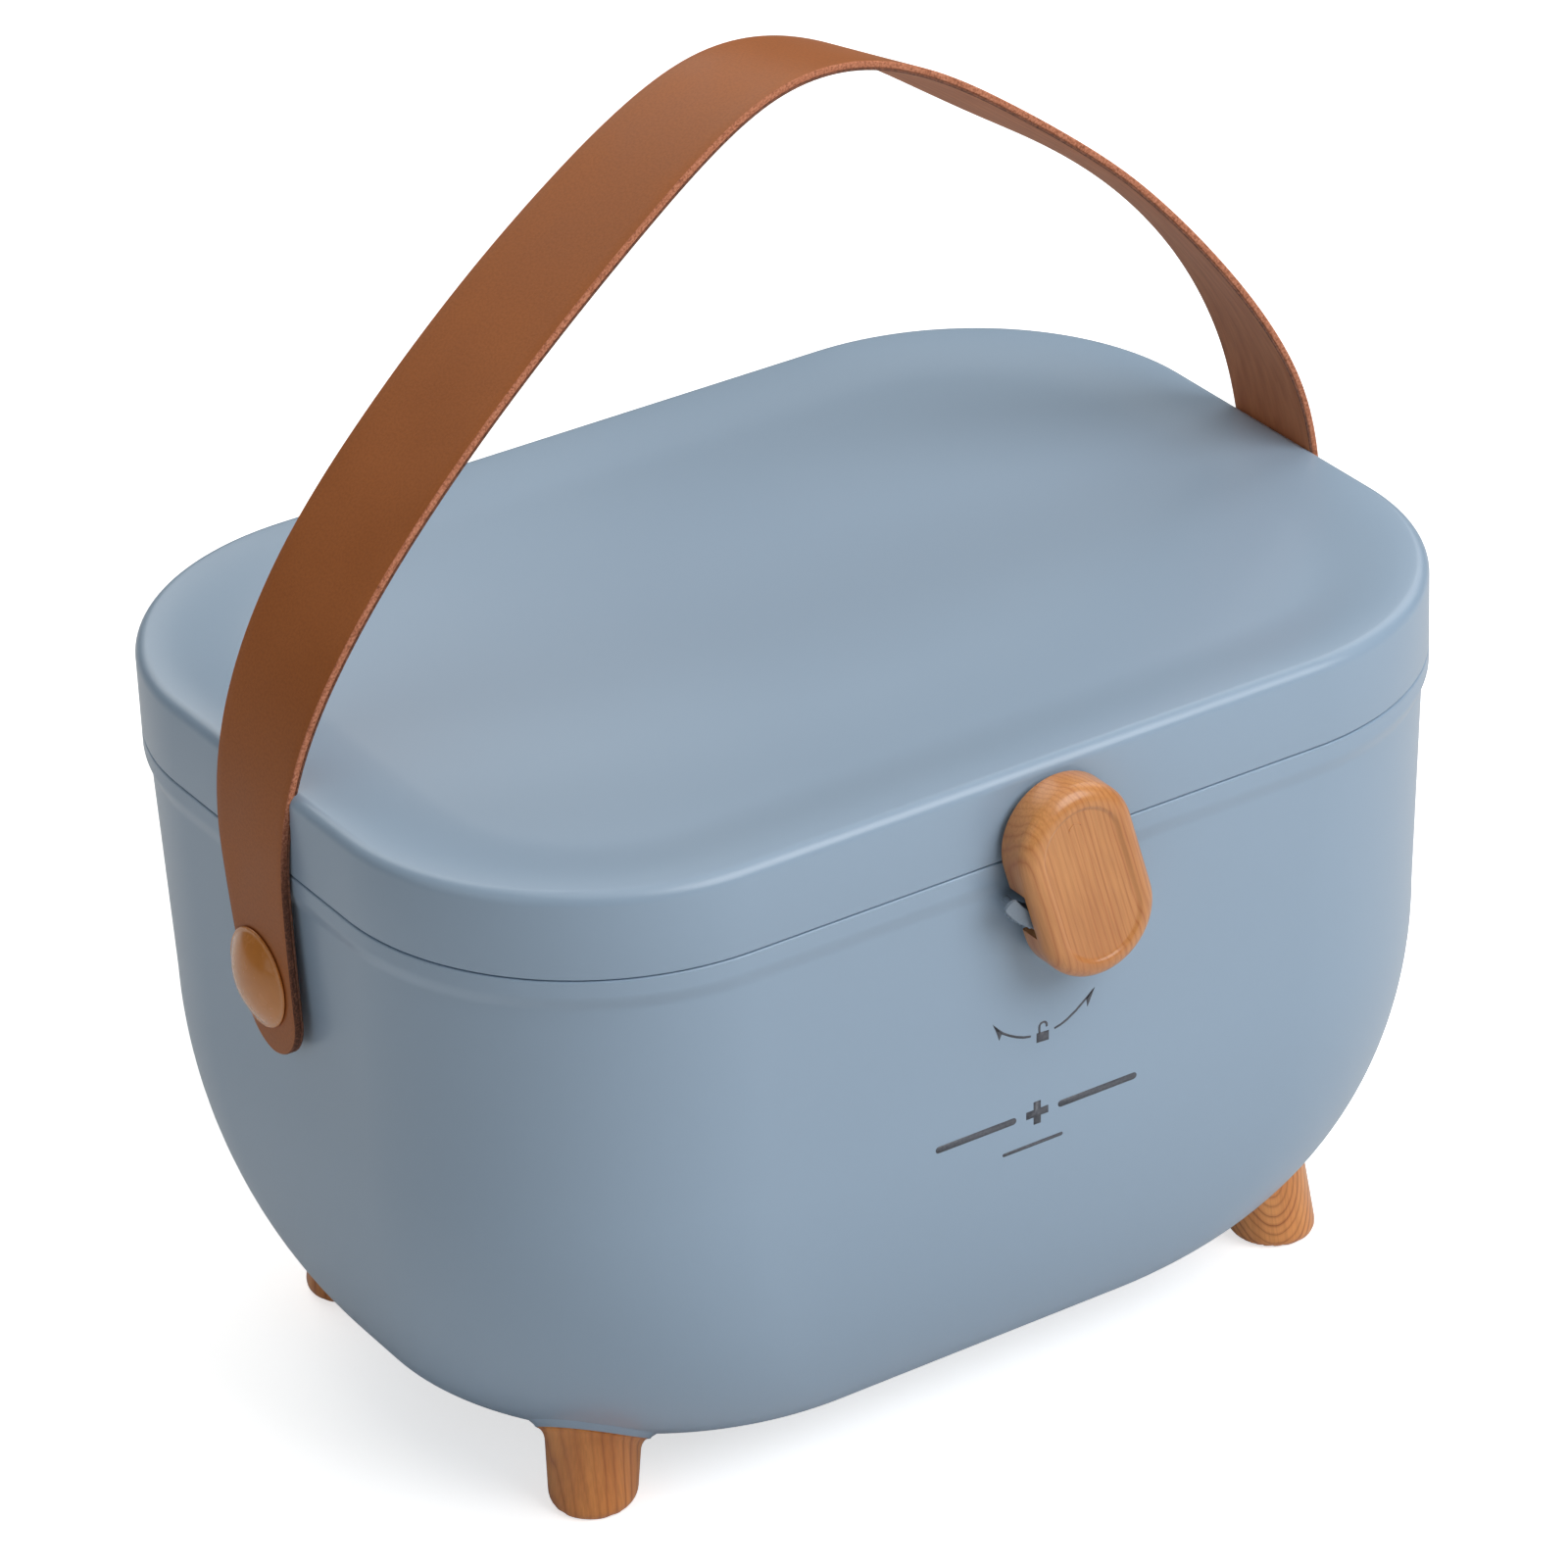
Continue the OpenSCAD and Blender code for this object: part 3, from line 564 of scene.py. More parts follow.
def wood_finish(name, light, deep, strong, turn, shift, pitch, wander, splay=0.0, arch=0.0):
    """Printed wood grain under a satin lacquer, between a light and a deep tone. Lines of growth
    stand a pitch apart, wander a little and are more or less strong. Splay opens them downwards,
    and arch bends them into nested bows."""
    wood = finish(name, light, 0.36, Coat_Weight=0.3, Coat_Roughness=0.16)
    where = places(wood, turn, shift)
    across, sideways, along = add(wood, "SeparateXYZ", Vector=where).outputs
    if arch:
        bow = reckon(wood, "MULTIPLY", along, arch)
        squares = [reckon(wood, "MULTIPLY", side, side) for side in (across, bow)]
        across = reckon(wood, "SQRT", reckon(wood, "ADD", *squares))
    opened = reckon(wood, "MULTIPLY", across, reckon(wood, "MULTIPLY_ADD", along, splay, 1.0))
    inner = reckon(wood, "MULTIPLY_ADD", sideways, 0.35, opened)
    waves = noise(wood, 170.0, 3.0, stretched(wood, where, (1, 1, 0.13)), Roughness=0.45)
    lines = reckon(wood, "MULTIPLY_ADD", inner, 1 / pitch, reckon(wood, "MULTIPLY", waves, wander))
    line = ramp(wood, reckon(wood, "FRACT", lines), (0.0, 1.0), (0.10, 0.55), (0.28, 0.08),
                (0.70, 0.03), (0.90, 0.45), (1.0, 1.0))
    chance = add(wood, "TexWhiteNoise", {"noise_dimensions": "1D"}, W=reckon(wood, "FLOOR", lines))
    weight = reckon(wood, "MULTIPLY_ADD", chance.outputs["Value"], 0.65 * strong, 0.35 * strong)
    broad = noise(wood, 70.0, 2.0, stretched(wood, where, (1, 1, 0.2)))
    ground = mixed(wood, ramp(wood, broad, (0.35, 0.0), (0.68, 1.0)), light, deep)
    printed = mixed(wood, reckon(wood, "MULTIPLY", line, weight), ground, GRAIN_LINE)
    fibre = noise(wood, 2100.0, 3.0, stretched(wood, where, (1, 1, 0.045)))
    worn_print = ramp(wood, fibre, (0.35, (0.90, 0.87, 0.84)), (0.60, (1.02, 1.02, 1.02)))
    drive(wood, "Base Color", mixed(wood, 1.0, printed, worn_print, "MULTIPLY"))
    bump(wood, fibre, 0.000010, 0.4)
    return wood


def foot_frame(sx, sy):
    """The foot's own frame: its origin is on the table and its Z runs up the leaning axis."""
    return (Matrix.Translation((sx * FOOT_X, sy * FOOT_Y, 0)) @ Matrix.Rotation(atan2(-sy, -sx), 4, "Z")
            @ Matrix.Rotation(FOOT_LEAN, 4, "Y"))


def circle(where, r, heights):
    """Points round the axis of a frame at a radius, each at its own height."""
    turns = len(heights)
    return [where @ Vector((r * cos(2 * pi * i / turns), r * sin(2 * pi * i / turns), z))
            for i, z in enumerate(heights)]


def underside(x, y, skin_in):
    """Height of the round bottom's skin over a point of the table."""
    low, high = 0.0, pi / 2
    for _ in range(30):
        a = (low + high) / 2
        half_l, half_w, r, z = bottom_size(a, skin_in)
        dx = max(abs(x) - (half_l - r), 0)
        dy = max(abs(y) - (half_w - r), 0)
        if hypot(dx, dy) > r:
            low = a
        else:
            high = a
    return bottom_size((low + high) / 2, skin_in)[3]


def skin_line(where, r, skin_in):
    """How far up the foot's axis the lines at a radius meet the skin, all the way round."""
    heights = []
    for i in range(TURNS):
        s = SKIN_GUESS
        for _ in range(12):
            a = 2 * pi * i / TURNS
            p = where @ Vector((r * cos(a), r * sin(a), s))
            s += underside(p.x, p.y, skin_in) - p.z
        heights.append(s)
    return heights


def peg_ring(where, meets, t):
    """Points round the peg's side: t = 0 at its lower end, 1 where it meets the tub."""
    ring = []
    for i, meet in enumerate(meets):
        a = 2 * pi * i / TURNS
        s = -FOOT_SINK + (meet + FOOT_SINK) * t
        r = FOOT_LOW_R + (FOOT_TOP_R - FOOT_LOW_R) * min(max(s, 0) / (FOOT_LEN - FOOT_END), 1)
        flare = max(1 - (meet - s) / FLARE_H, 0)
        r += FLARE_W * (1 - sqrt(1 - min(flare, FLARE_MOST) ** 2))
        ring.append(where @ Vector((r * cos(a), r * sin(a), s)))
    return ring


# Each foot's side and its own print: the light and deep tone, then the grain's turn, the x and z
# of its middle, and its pitch, wander, splay and arch.
PLAIN_PRINT = ((0.860, 0.350, 0.092), (0.640, 0.215, 0.044))
# the front-right foot gets a paler copy of the print: painted light, since that foot stands in more light
# than the others
PAINTED_LIGHT_PRINT = ((0.950, 0.430, 0.135), (0.740, 0.280, 0.070))
FEET = (("front_left_foot", -1, -1, PLAIN_PRINT, 0.0, (0.002, 0.020), 0.0027, 1.3, -14.0, 0.0),
        ("front_right_foot", 1, -1, PAINTED_LIGHT_PRINT, -0.10, (-0.001, 0.019), 0.0016, 0.8, 0.0, 0.62),
        ("rear_left_foot", -1, 1, PLAIN_PRINT, 0.06, (0.003, 0.020), 0.0019, 1.2, 8.0, 0.0),
        ("rear_right_foot", 1, 1, PLAIN_PRINT, 0.0, (-0.002, 0.016), 0.0018, 1.2, 0.0, 0.5))
for name, sx, sy, tones, tip, middle, *grain in FEET:
    where = foot_frame(sx, sy)
    foot_wood = wood_finish(name + "_wood", *tones, 1.0, (0, tip, AZIMUTH),
                            (sx * FOOT_X + middle[0], sy * FOOT_Y, middle[1]), *grain)
    meets = [s - BOSS_DROP for s in skin_line(where, FOOT_TOP_R + FLARE_W * FLARE_SEAT, 0)]
    rings = [circle(where, FOOT_LOW_R - 0.0005, [-0.004] * TURNS)]
    for k in range(PEG_STEPS + 1):
        rings.append(peg_ring(where, meets, 1 - (1 - k / PEG_STEPS) ** PEG_CROWDING))
    rings.append(circle(where, FOOT_TOP_R * 0.9, [FOOT_LEN] * TURNS))
    points, faces = loft(rings)
    centre = where @ Vector((0, 0, 0))
    soft_points = []
    for p in points:
        if p.z < FOOT_EDGE:
            # the side rolls in to the flat of the foot on a small radius
            down = min((FOOT_EDGE - p.z) / FOOT_EDGE, 1.0)
            away = Vector((p.x - centre.x, p.y - centre.y, 0))
            pull = FOOT_EDGE * FOOT_ROLL * (1 - sqrt(max(1 - down * down, 0)))
            if away.length > pull:
                away *= (away.length - pull) / away.length
            p = Vector((centre.x + away.x, centre.y + away.y, max(p.z, 0)))
        soft_points.append(p)
    peg = seat(shaped(name + "_peg", soft_points, faces, foot_wood, 60), "tub")
    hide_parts(name)

    # the tub's own skin turns down into a low boss that the flare sits against
    boss_rings = []
    for r_out, drop in BOSS_PROFILE:
        r = FOOT_TOP_R + FLARE_W + r_out
        boss_rings.append(circle(where, r, [s - drop for s in skin_line(where, r, 0)]))
    seat(shaped(name + "_boss", *loft(boss_rings, closed=True), plastic_blue))

    cup_r = FOOT_TOP_R + CUP_WALL
    cup_top = FOOT_LEN + CUP_WALL
    cup_rings = [circle(where, cup_r, skin_line(where, cup_r, WALL / 2))]
    for r, s in ((cup_r, cup_top - CUP_EDGE), (cup_r - CUP_EDGE / 3, cup_top - CUP_EDGE / 3),
                 (cup_r - CUP_EDGE, cup_top), (AXIS_R, cup_top)):
        cup_rings.append(circle(where, r, [s] * TURNS))
    seat(shaped(name + "_cup", *loft(cup_rings), plastic_blue, 40))


# Four plated screws hold the feet from inside the tub. Each has a low round head with a
# cross recess.
SCREW_R = 0.0019
SCREW_HEAD_R = 2 * SCREW_R
SCREW_END = FOOT_LEN - 0.011
HEAD_BASE = FOOT_LEN + CUP_WALL
HEAD_RIM = 0.0004
HEAD_STEPS = 8


def lathe(profile, where=None, turns=TURNS):
    """Points and faces of a closed turned form. The profile is radius and height, from the
    bottom of the axis round the outside to the top of the axis."""
    where = where or Matrix.Identity(4)
    return loft([circle(where, r, [z] * turns) for r, z in profile])


screw_profile = [(AXIS_R, SCREW_END), (SCREW_R * 0.5, SCREW_END), (SCREW_R, SCREW_END + 0.001),
                 (SCREW_R, HEAD_BASE), (SCREW_HEAD_R - HEAD_RIM / 2, HEAD_BASE),
                 (SCREW_HEAD_R, HEAD_BASE + HEAD_RIM / 2)]
for i in range(1, HEAD_STEPS + 1):
    a = pi / 2 * i / HEAD_STEPS
    screw_profile.append((max(SCREW_HEAD_R * cos(a), AXIS_R),
                          HEAD_BASE + HEAD_RIM + (SCREW_R - HEAD_RIM) * sin(a)))


def carved(mesh, cutter_boxes, sharp):
    """The mesh with boxes cut out of it. A box is its middle and its size."""
    body = placed("carved", mesh)
    cutter_mesh = bpy.data.meshes.new("cutter")
    work = bmesh.new()
    for middle, size in cutter_boxes:
        bmesh.ops.create_cube(work, size=1, matrix=Matrix.Translation(middle) @ Matrix.Diagonal((*size, 1)))
    work.to_mesh(cutter_mesh)
    work.free()
    cutter = placed("cutter", cutter_mesh)
    cut = body.modifiers.new("cut", "BOOLEAN")
    cut.object = cutter
    cut.operation = "DIFFERENCE"
    cut.solver = "EXACT"
    cut.use_self = len(cutter_boxes) > 1
    result = baked(body)
    bpy.data.objects.remove(cutter)
    return smoothed(result, sharp)


RECESS_LEN = 0.0038
RECESS_W = 0.0008
RECESS_H = 0.0018
recess = [((0, 0, HEAD_BASE + SCREW_R), size) for size in ((RECESS_LEN, RECESS_W, RECESS_H),
                                                           (RECESS_W, RECESS_LEN, RECESS_H))]
screw = carved(shaped("foot_screw", *lathe(screw_profile, turns=24), plated, 35), recess, 35)
screws = copies("foot_screws_set", screw, "tub", "steel", Grid_Length=2 * FOOT_X, Grid_Width=2 * FOOT_Y,
                Columns=2, Rows=2, Lean=FOOT_LEAN, Face_Middle=1.0)
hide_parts("foot_screws")


# The handle is one cut strip of brown synthetic leather. It stands up from the studs in an
# arch whose crown lies a little to the left. Its cut edge shows a pale fibre core, painted
# darker lower down as painted shade, where the strap lies along the tub.
STUD_Z = 0.1245
strap_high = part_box("strap")[1]
STRAP_OUT = strap_high.x
LEATHER_T = 0.0015
LINING_T = 0.0006
STRAP_HALF = strap_high.y
CROWN_HALF = 0.01575
END_HALF = 0.0109
TAPER_POWER = 0.9
TAPER_ROUND = 0.012
STRAP_TIP = 0.1078
END_TOP = STRAP_TIP + END_HALF
END_SHIFT = 0.0039
SHIFT_TOP = 0.157
TAPER_TOP = STUD_Z + 0.084
CROWN_Z = strap_high.z
ARCH_LOW = STUD_Z + 0.0215
ARCH_STEP = 0.0213
ARCH_STEPS = 10
ACROSS_STEPS = 12
TIP_STEPS = 12
LEG_STEPS = 12

# What steers the arch from the right leg to the left one, in millimetres: x and z of the near
# edge, then of the far edge. The strip is rolled, and its near edge stands higher at the crown.
ARCH_PATH = (
    (133.0, 190.3, 134.7, 190.2), (122.3, 210.5, 126.0, 211.1), (110.4, 227.7, 114.0, 228.6),
    (97.6, 243.7, 99.9, 243.6), (83.3, 259.3, 83.5, 256.7), (67.3, 272.8, 66.0, 268.0),
    (50.7, 285.6, 49.1, 279.9), (32.9, 297.9, 31.7, 292.1), (12.8, 305.7, 12.1, 301.2),
    (-7.4, 304.2, -8.0, 302.0), (-26.0, 293.6, -27.4, 293.2), (-43.2, 280.8, -45.3, 281.2),
    (-59.5, 268.0, -61.8, 268.7), (-75.6, 254.4, -77.6, 255.1), (-91.0, 240.2, -92.9, 240.5),
    (-105.3, 225.4, -106.9, 225.7), (-118.9, 209.1, -119.5, 209.4), (-130.9, 189.4, -131.1, 189.6))


def leg_line(side):
    """Points of a leg's outer face from its tip up to the arch, with the way into the strap."""
    heights = [END_TOP - END_HALF * cos(pi / 2 * i / TIP_STEPS) * 0.9999 for i in range(TIP_STEPS + 1)]
    top = heights[-1]
    heights += [top + (ARCH_LOW - top) * i / LEG_STEPS for i in range(1, LEG_STEPS)]
    return [(Vector((side * STRAP_OUT, 0, z)), Vector((-side, 0, 0))) for z in heights]


def arch_line(path):
    """Points of one edge round the arch, steered by a path, with the way into the strap."""
    right, left = ([Vector((side * STRAP_OUT, 0, ARCH_LOW + k * ARCH_STEP)) for k in (-1, 0, 1)]
                   for side in (1, -1))
    path = right + [Vector((x / 1000, 0, z / 1000)) for x, z in path] + left[::-1]
    line = []
    for i in range(len(path) - 3):
        a, b, c, d = path[i:i + 4]
        for t in [k / ARCH_STEPS for k in range(ARCH_STEPS)]:
            p = (a * (1 - t) ** 3 + b * (3 * t ** 3 - 6 * t * t + 4)
                 + c * (1 + 3 * t + 3 * t * t - 3 * t ** 3) + d * t ** 3) / 6
            way = (d * t * t - a * (1 - t) ** 2
                   + b * (3 * t * t - 4 * t) + c * (1 + 2 * t - 3 * t * t)).normalized()
            line.append((p, Vector((-way.z, 0, way.x))))
    return line


strap_edges = [leg_line(1) + arch_line([spot[first:first + 2] for spot in ARCH_PATH]) + leg_line(-1)[::-1]
               for first in (0, 2)]


def strap_half_width(z):
    """Half of the strap's width at a height: a round end, a straight taper, a waist above."""
    if z < END_TOP:
        return sqrt(max(END_HALF ** 2 - (END_TOP - z) ** 2, 1e-9))
    # the corner between the taper and the waist is rounded over a short length
    slope = TAPER_POWER * (STRAP_HALF - END_HALF) / (TAPER_TOP - END_TOP)
    rounding = slope * max(TAPER_ROUND - abs(z - TAPER_TOP), 0) ** 2 / (4 * TAPER_ROUND)
    if z < TAPER_TOP:
        rise = ((z - END_TOP) / (TAPER_TOP - END_TOP)) ** TAPER_POWER
        return END_HALF + (STRAP_HALF - END_HALF) * rise - rounding
    t = (z - TAPER_TOP) / (CROWN_Z - TAPER_TOP)
    return STRAP_HALF + (CROWN_HALF - STRAP_HALF) * t * t - rounding


def end_shift(z):
    """How far the strap's middle lies to the front, where its end hangs a little askew."""
    fall = min(max((SHIFT_TOP - z) / (SHIFT_TOP - END_TOP), 0), 1)
    return END_SHIFT * fall ** 1.5


def ply(name, near, far, soften, face_skin, edge_skin):
    """One ply between two depths under the outer face, with its cut edges softened."""
    rings = []
    lengths = []
    run = 0.0
    corner = [(1 - sin(radians(a)), 1 - cos(radians(a))) for a in (30, 60, 90)]
    last = None
    for (near_p, near_in), (far_p, far_in) in zip(*strap_edges):
        middle = (near_p + far_p) / 2
        run += (middle - last).length if last else 0
        last = middle
        lengths.append(run)
        half = strap_half_width(middle.z)
        soft = min(soften, half / 2)
        flat = [-half + soft + 2 * (half - soft) * i / ACROSS_STEPS for i in range(ACROSS_STEPS + 1)]
        across = [(y, near) for y in flat]
        across += [(half - soft * u, near + soft * v) for u, v in corner]
        across += [(half - soft * u, far - soft * v) for u, v in corner[::-1]]
        across += [(-y, far) for y in flat]
        across += [(soft * u - half, far - soft * v) for u, v in corner]
        across += [(soft * u - half, near + soft * v) for u, v in corner[::-1]]
        rings.append([(near_p + near_in * depth).lerp(far_p + far_in * depth, (y / half + 1) / 2)
                      + Vector((0, y - end_shift(middle.z), 0)) for y, depth in across])
    mesh = shaped(name, *loft(rings), face_skin, out=False)
    mesh.materials.append(edge_skin)
    layer = mesh.uv_layers.new(name="strap_place")
    count = len(rings[0])
    edge_span = 2 * len(corner) + 1
    edge_spans = {*range(ACROSS_STEPS, ACROSS_STEPS + edge_span), *range(2 * ACROSS_STEPS + edge_span, count)}
    for poly in mesh.polygons:
        spots = {v % count for v in poly.vertices}
        first = count - 1 if spots == {0, count - 1} else min(spots)
        if len(poly.vertices) > 4 or first in edge_spans:
            poly.material_index = 1
        for loop in poly.loop_indices:
            v = mesh.loops[loop].vertex_index
            layer.data[loop].uv = (mesh.vertices[v].co.y, lengths[v // count])
    return seat(mesh, "handle")


def strap_places(material, scale=(1, 1, 1)):
    """The place across and along the strap, in metres, scaled."""
    where = add(material, "UVMap", {"uv_map": "strap_place"}).outputs["UV"]
    return stretched(material, where, scale)


def flecked(material, scale, detail, dark, light, depth, strength, low=0.3, high=0.7, where=None):
    """Lets a fine noise vary the base colour between two tones and raise a bump."""
    fleck = noise(material, scale, detail, where)
    drive(material, "Base Color", ramp(material, fleck, (low, dark), (high, light)))
    bump(material, fleck, depth, strength)
    return fleck


leather_face = finish("leather_face", (0.392, 0.121, 0.029), 0.52, Specular_IOR_Level=0.35)
on_strap = strap_places(leather_face)
patches = noise(leather_face, 45.0, 4.0, on_strap)
pebbles = add(leather_face, "TexVoronoi", {"feature": "SMOOTH_F1"}, Vector=on_strap, Scale=2200.0,
              Smoothness=0.6)
pores = noise(leather_face, 1500.0, 3.0, on_strap)
leather_tone = ramp(leather_face, patches, (0.3, (0.375, 0.115, 0.027)), (0.7, (0.415, 0.130, 0.032)))
drive(leather_face, "Base Color", mixed(leather_face, 1.0, leather_tone,
                                        ramp(leather_face, pores, (0.36, 0.90), (0.6, 1.02)), "MULTIPLY"))
drive(leather_face, "Roughness", ramp(leather_face, patches, (0.3, 0.46), (0.7, 0.56)))
bump(leather_face, pebbles.outputs["Distance"], 0.00005, 0.30)

leather_core = finish("leather_core", (0.50, 0.20, 0.11), 0.85)
fuzz = noise(leather_core, 1900.0, 4.0)
core_height = add(leather_core, "SeparateXYZ", Vector=places(leather_core)).outputs["Z"]
# below the lid's level the cut edge is painted dark: painted shade, where the tub and the lid shade it
free = add(leather_core, "MapRange", Value=core_height, i1=0.150, i2=0.176, i3=0.0, i4=1.0).outputs[0]
bright_core = ramp(leather_core, fuzz, (0.30, (0.26, 0.080, 0.036)), (0.48, (0.50, 0.175, 0.085)),
                   (0.70, (0.66, 0.28, 0.165)))
painted_shade_core = ramp(leather_core, fuzz, (0.35, (0.085, 0.028, 0.014)), (0.56, (0.16, 0.056, 0.028)),
                 (0.72, (0.30, 0.115, 0.062)))
drive(leather_core, "Base Color", mixed(leather_core, free, painted_shade_core, bright_core))
bump(leather_core, fuzz, 0.00012, 0.8)

leather_back = finish("leather_back", (0.60, 0.215, 0.092), 0.7, Specular_IOR_Level=0.3)
flecked(leather_back, 420.0, 4.0, (0.53, 0.180, 0.076), (0.67, 0.250, 0.108), 0.00012, 0.7,
        where=strap_places(leather_back, (1, 0.16, 1)))

leather_back_edge = finish("leather_back_edge", (0.12, 0.045, 0.022), 0.7)
flecked(leather_back_edge, 1500.0, 3.0, (0.10, 0.036, 0.018), (0.24, 0.090, 0.048), 0.00008, 0.6, 0.35, 0.65)

strap = ply("strap_outer", 0.0, LEATHER_T, 0.00035, leather_face, leather_core)
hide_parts("strap")
backing = ply("strap_backing", LEATHER_T, LEATHER_T + LINING_T, 0.0002, leather_back, leather_back_edge)
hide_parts("strap_lining")


# Two domed snap caps hold the strap: pressed metal with an ochre lacquer, smooth and glossy,
# each with a thin flat rim that sits on the leather. A plated post and a collar behind it
# join it to the tub's wall.
stud_low, stud_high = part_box("right_stud")
STUD_R = (stud_high.z - stud_low.z) / 2
STUD_BASE = stud_low.x
STUD_TOP = stud_high.x
STUD_RIM = 0.0006
RIM_FLAT = 0.0007
RIM_SOFT = 0.0002
DOME_STEPS = 24
ochre = finish("ochre_lacquer", (0.60, 0.215, 0.035), 0.24, Coat_Weight=0.6, Coat_Roughness=0.06)
dulled = flecked(ochre, 260.0, 3.0, (0.580, 0.205, 0.032), (0.620, 0.226, 0.039), 0.000004, 0.4)
drive(ochre, "Roughness", ramp(ochre, dulled, (0.3, 0.20), (0.7, 0.30)))

dome = STUD_TOP - STUD_BASE - STUD_RIM
dome_foot = STUD_R - RIM_FLAT
ball = (dome_foot ** 2 + dome ** 2) / (2 * dome)
cap_profile = [(AXIS_R, 0), (STUD_R - RIM_SOFT, 0), (STUD_R, RIM_SOFT), (STUD_R, STUD_RIM - RIM_SOFT),
               (STUD_R - RIM_SOFT, STUD_RIM), (dome_foot + 0.0001, STUD_RIM)]
for i in range(1, DOME_STEPS + 1):
    a = asin(dome_foot / ball) * (1 - i / DOME_STEPS)
    cap_profile.append((max(ball * sin(a), AXIS_R), STUD_RIM + ball * cos(a) - (ball - dome)))
for side, name in ((-1, "left_stud"), (1, "right_stud")):
    where = Matrix.Translation((side * STUD_BASE, 0, STUD_Z)) @ Matrix.Rotation(side * pi / 2, 4, "Y")
    cap = seat(shaped(name + "_cap", *lathe(cap_profile, where, 96), ochre), "tub")
    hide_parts(name)
dress(plated, "left_stud_post", "right_stud_post", "left_spacer", "right_spacer")


# The latch's guide is a blue-grey moulding on the lid's skirt: a round plate with a boss for
# the screw, a strut down to a curved rail, and a lip along the rail whose round end looks out
# of the knob's slot. Small teeth on the lip's edge give the knob its clicks.
LATCH_X = 0.003
LATCH_Z = 0.158
GUIDE_BACK = 0.0003
GUIDE_T = 0.0009
GUIDE_FRONT = GUIDE_BACK + GUIDE_T
PLATE_R = 0.0105
BOSS_R = 0.0036
BOSS_H = 0.0055
STRUT_HALF = 0.004
RAIL_R = 0.017
RAIL_WEB = 0.0016
RAIL_LIP = 0.0035
RAIL_H = 0.0063
RAIL_ANGLE = radians(58)
WEB_SHORT = radians(9)
RAIL_STEPS = 64
GUIDE_EDGE = 0.0002
RAIL_CORNER = 0.0006
RAIL_TIP_HALF = 0.00025
guide_frame = Matrix.Translation((LATCH_X, -HALF_W, LATCH_Z)) @ Matrix.Rotation(pi / 2, 4, "X")

# the guide's plastic is a darker copy of the tub's blue: painted shade, for the shade it lies in behind the
# knob
guide_plastic = finish("guide_plastic", (0.22, 0.27, 0.33), 0.55, Specular_IOR_Level=0.3)
flecked(guide_plastic, 1800.0, 2.0, (0.210, 0.260, 0.320), (0.232, 0.284, 0.346), 0.00001, 0.5)


def soft_block(u0, u1, v0, v1, soft):
    """Corners of a block's section with each edge taken off."""
    return [(u0 + soft, v0), (u1 - soft, v0), (u1, v0 + soft), (u1, v1 - soft),
            (u1 - soft, v1), (u0 + soft, v1), (u0, v1 - soft), (u0, v0 + soft)]


def rail_part(thick, low, high, reach):
    """A curved bar round the pivot, between two heights, with round ends."""
    middle = RAIL_R + thick / 2
    turn_in = RAIL_CORNER / middle
    rings = []
    for i in range(RAIL_STEPS + 1):
        a = -reach * cos(pi * i / RAIL_STEPS)
        past = max(abs(a) - (reach - turn_in), 0) / turn_in
        half = max(thick / 2 * sqrt(max(1 - past * past, 0)), RAIL_TIP_HALF)
        ring = [(r * sin(a), -r * cos(a), h) for r, h in
                soft_block(middle - half, middle + half, low, high, min(GUIDE_EDGE, half * 0.6))]
        rings.append([guide_frame @ Vector(p) for p in ring])
    return loft(rings)


plate_profile = [(AXIS_R, GUIDE_BACK), (PLATE_R - GUIDE_EDGE, GUIDE_BACK), (PLATE_R, GUIDE_BACK + GUIDE_EDGE),
                 (PLATE_R, GUIDE_FRONT - GUIDE_EDGE), (PLATE_R - GUIDE_EDGE, GUIDE_FRONT),
                 (BOSS_R + GUIDE_EDGE, GUIDE_FRONT), (BOSS_R, GUIDE_FRONT + GUIDE_EDGE),
                 (BOSS_R, BOSS_H - GUIDE_EDGE), (BOSS_R - GUIDE_EDGE, BOSS_H), (AXIS_R, BOSS_H)]
strut_outline = soft_block(-STRUT_HALF, STRUT_HALF, -RAIL_R - RAIL_WEB / 2, -0.002, GUIDE_EDGE)
strut = [[guide_frame @ Vector((u, v, h)) for u, v in strut_outline] for h in (GUIDE_BACK, GUIDE_FRONT)]
RAIL_FRONT = GUIDE_BACK + RAIL_H
guide_mesh = shaped("latch_mount", *joined(
    lathe(plate_profile, guide_frame, 48), loft(strut),
    rail_part(RAIL_WEB, GUIDE_BACK, RAIL_FRONT - GUIDE_EDGE, RAIL_ANGLE - WEB_SHORT),
    rail_part(RAIL_LIP, RAIL_FRONT - GUIDE_T, RAIL_FRONT, RAIL_ANGLE)), guide_plastic, 35)
guide = seat(guide_mesh, "lid")
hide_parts("latch_guide")

TOOTH_R = 0.0005
TOOTH_COUNT = 7
TOOTH_FAN = radians(4.0)
TOOTH_START = RAIL_ANGLE - radians(7)
TOOTH_REACH = RAIL_R + RAIL_LIP - 0.0002
tooth_profile = [(AXIS_R, 0), (TOOTH_R, 0), (TOOTH_R, GUIDE_T * 0.7), (TOOTH_R * 0.6, GUIDE_T),
                 (AXIS_R, GUIDE_T)]
tooth_frame = (Matrix.Translation((0, GUIDE_T * 1.35 - RAIL_FRONT, 0)) @ Matrix.Rotation(pi / 2, 4, "X")
               @ Matrix.Translation((0, -TOOTH_REACH, 0)))
for side, name in ((1, "left_teeth"), (-1, "right_teeth")):
    # the copies fan out about the pivot, from the lip's end towards its middle
    tooth = shaped(name + "_one", *lathe(tooth_profile, tooth_frame, 10), guide_plastic, 35)
    copies(name, tooth, "lid", "tub_plastic", Columns=TOOTH_COUNT, Centre=(LATCH_X, -HALF_W, LATCH_Z),
           Lean=side * TOOTH_START, Fan_Step=-side * TOOTH_FAN)


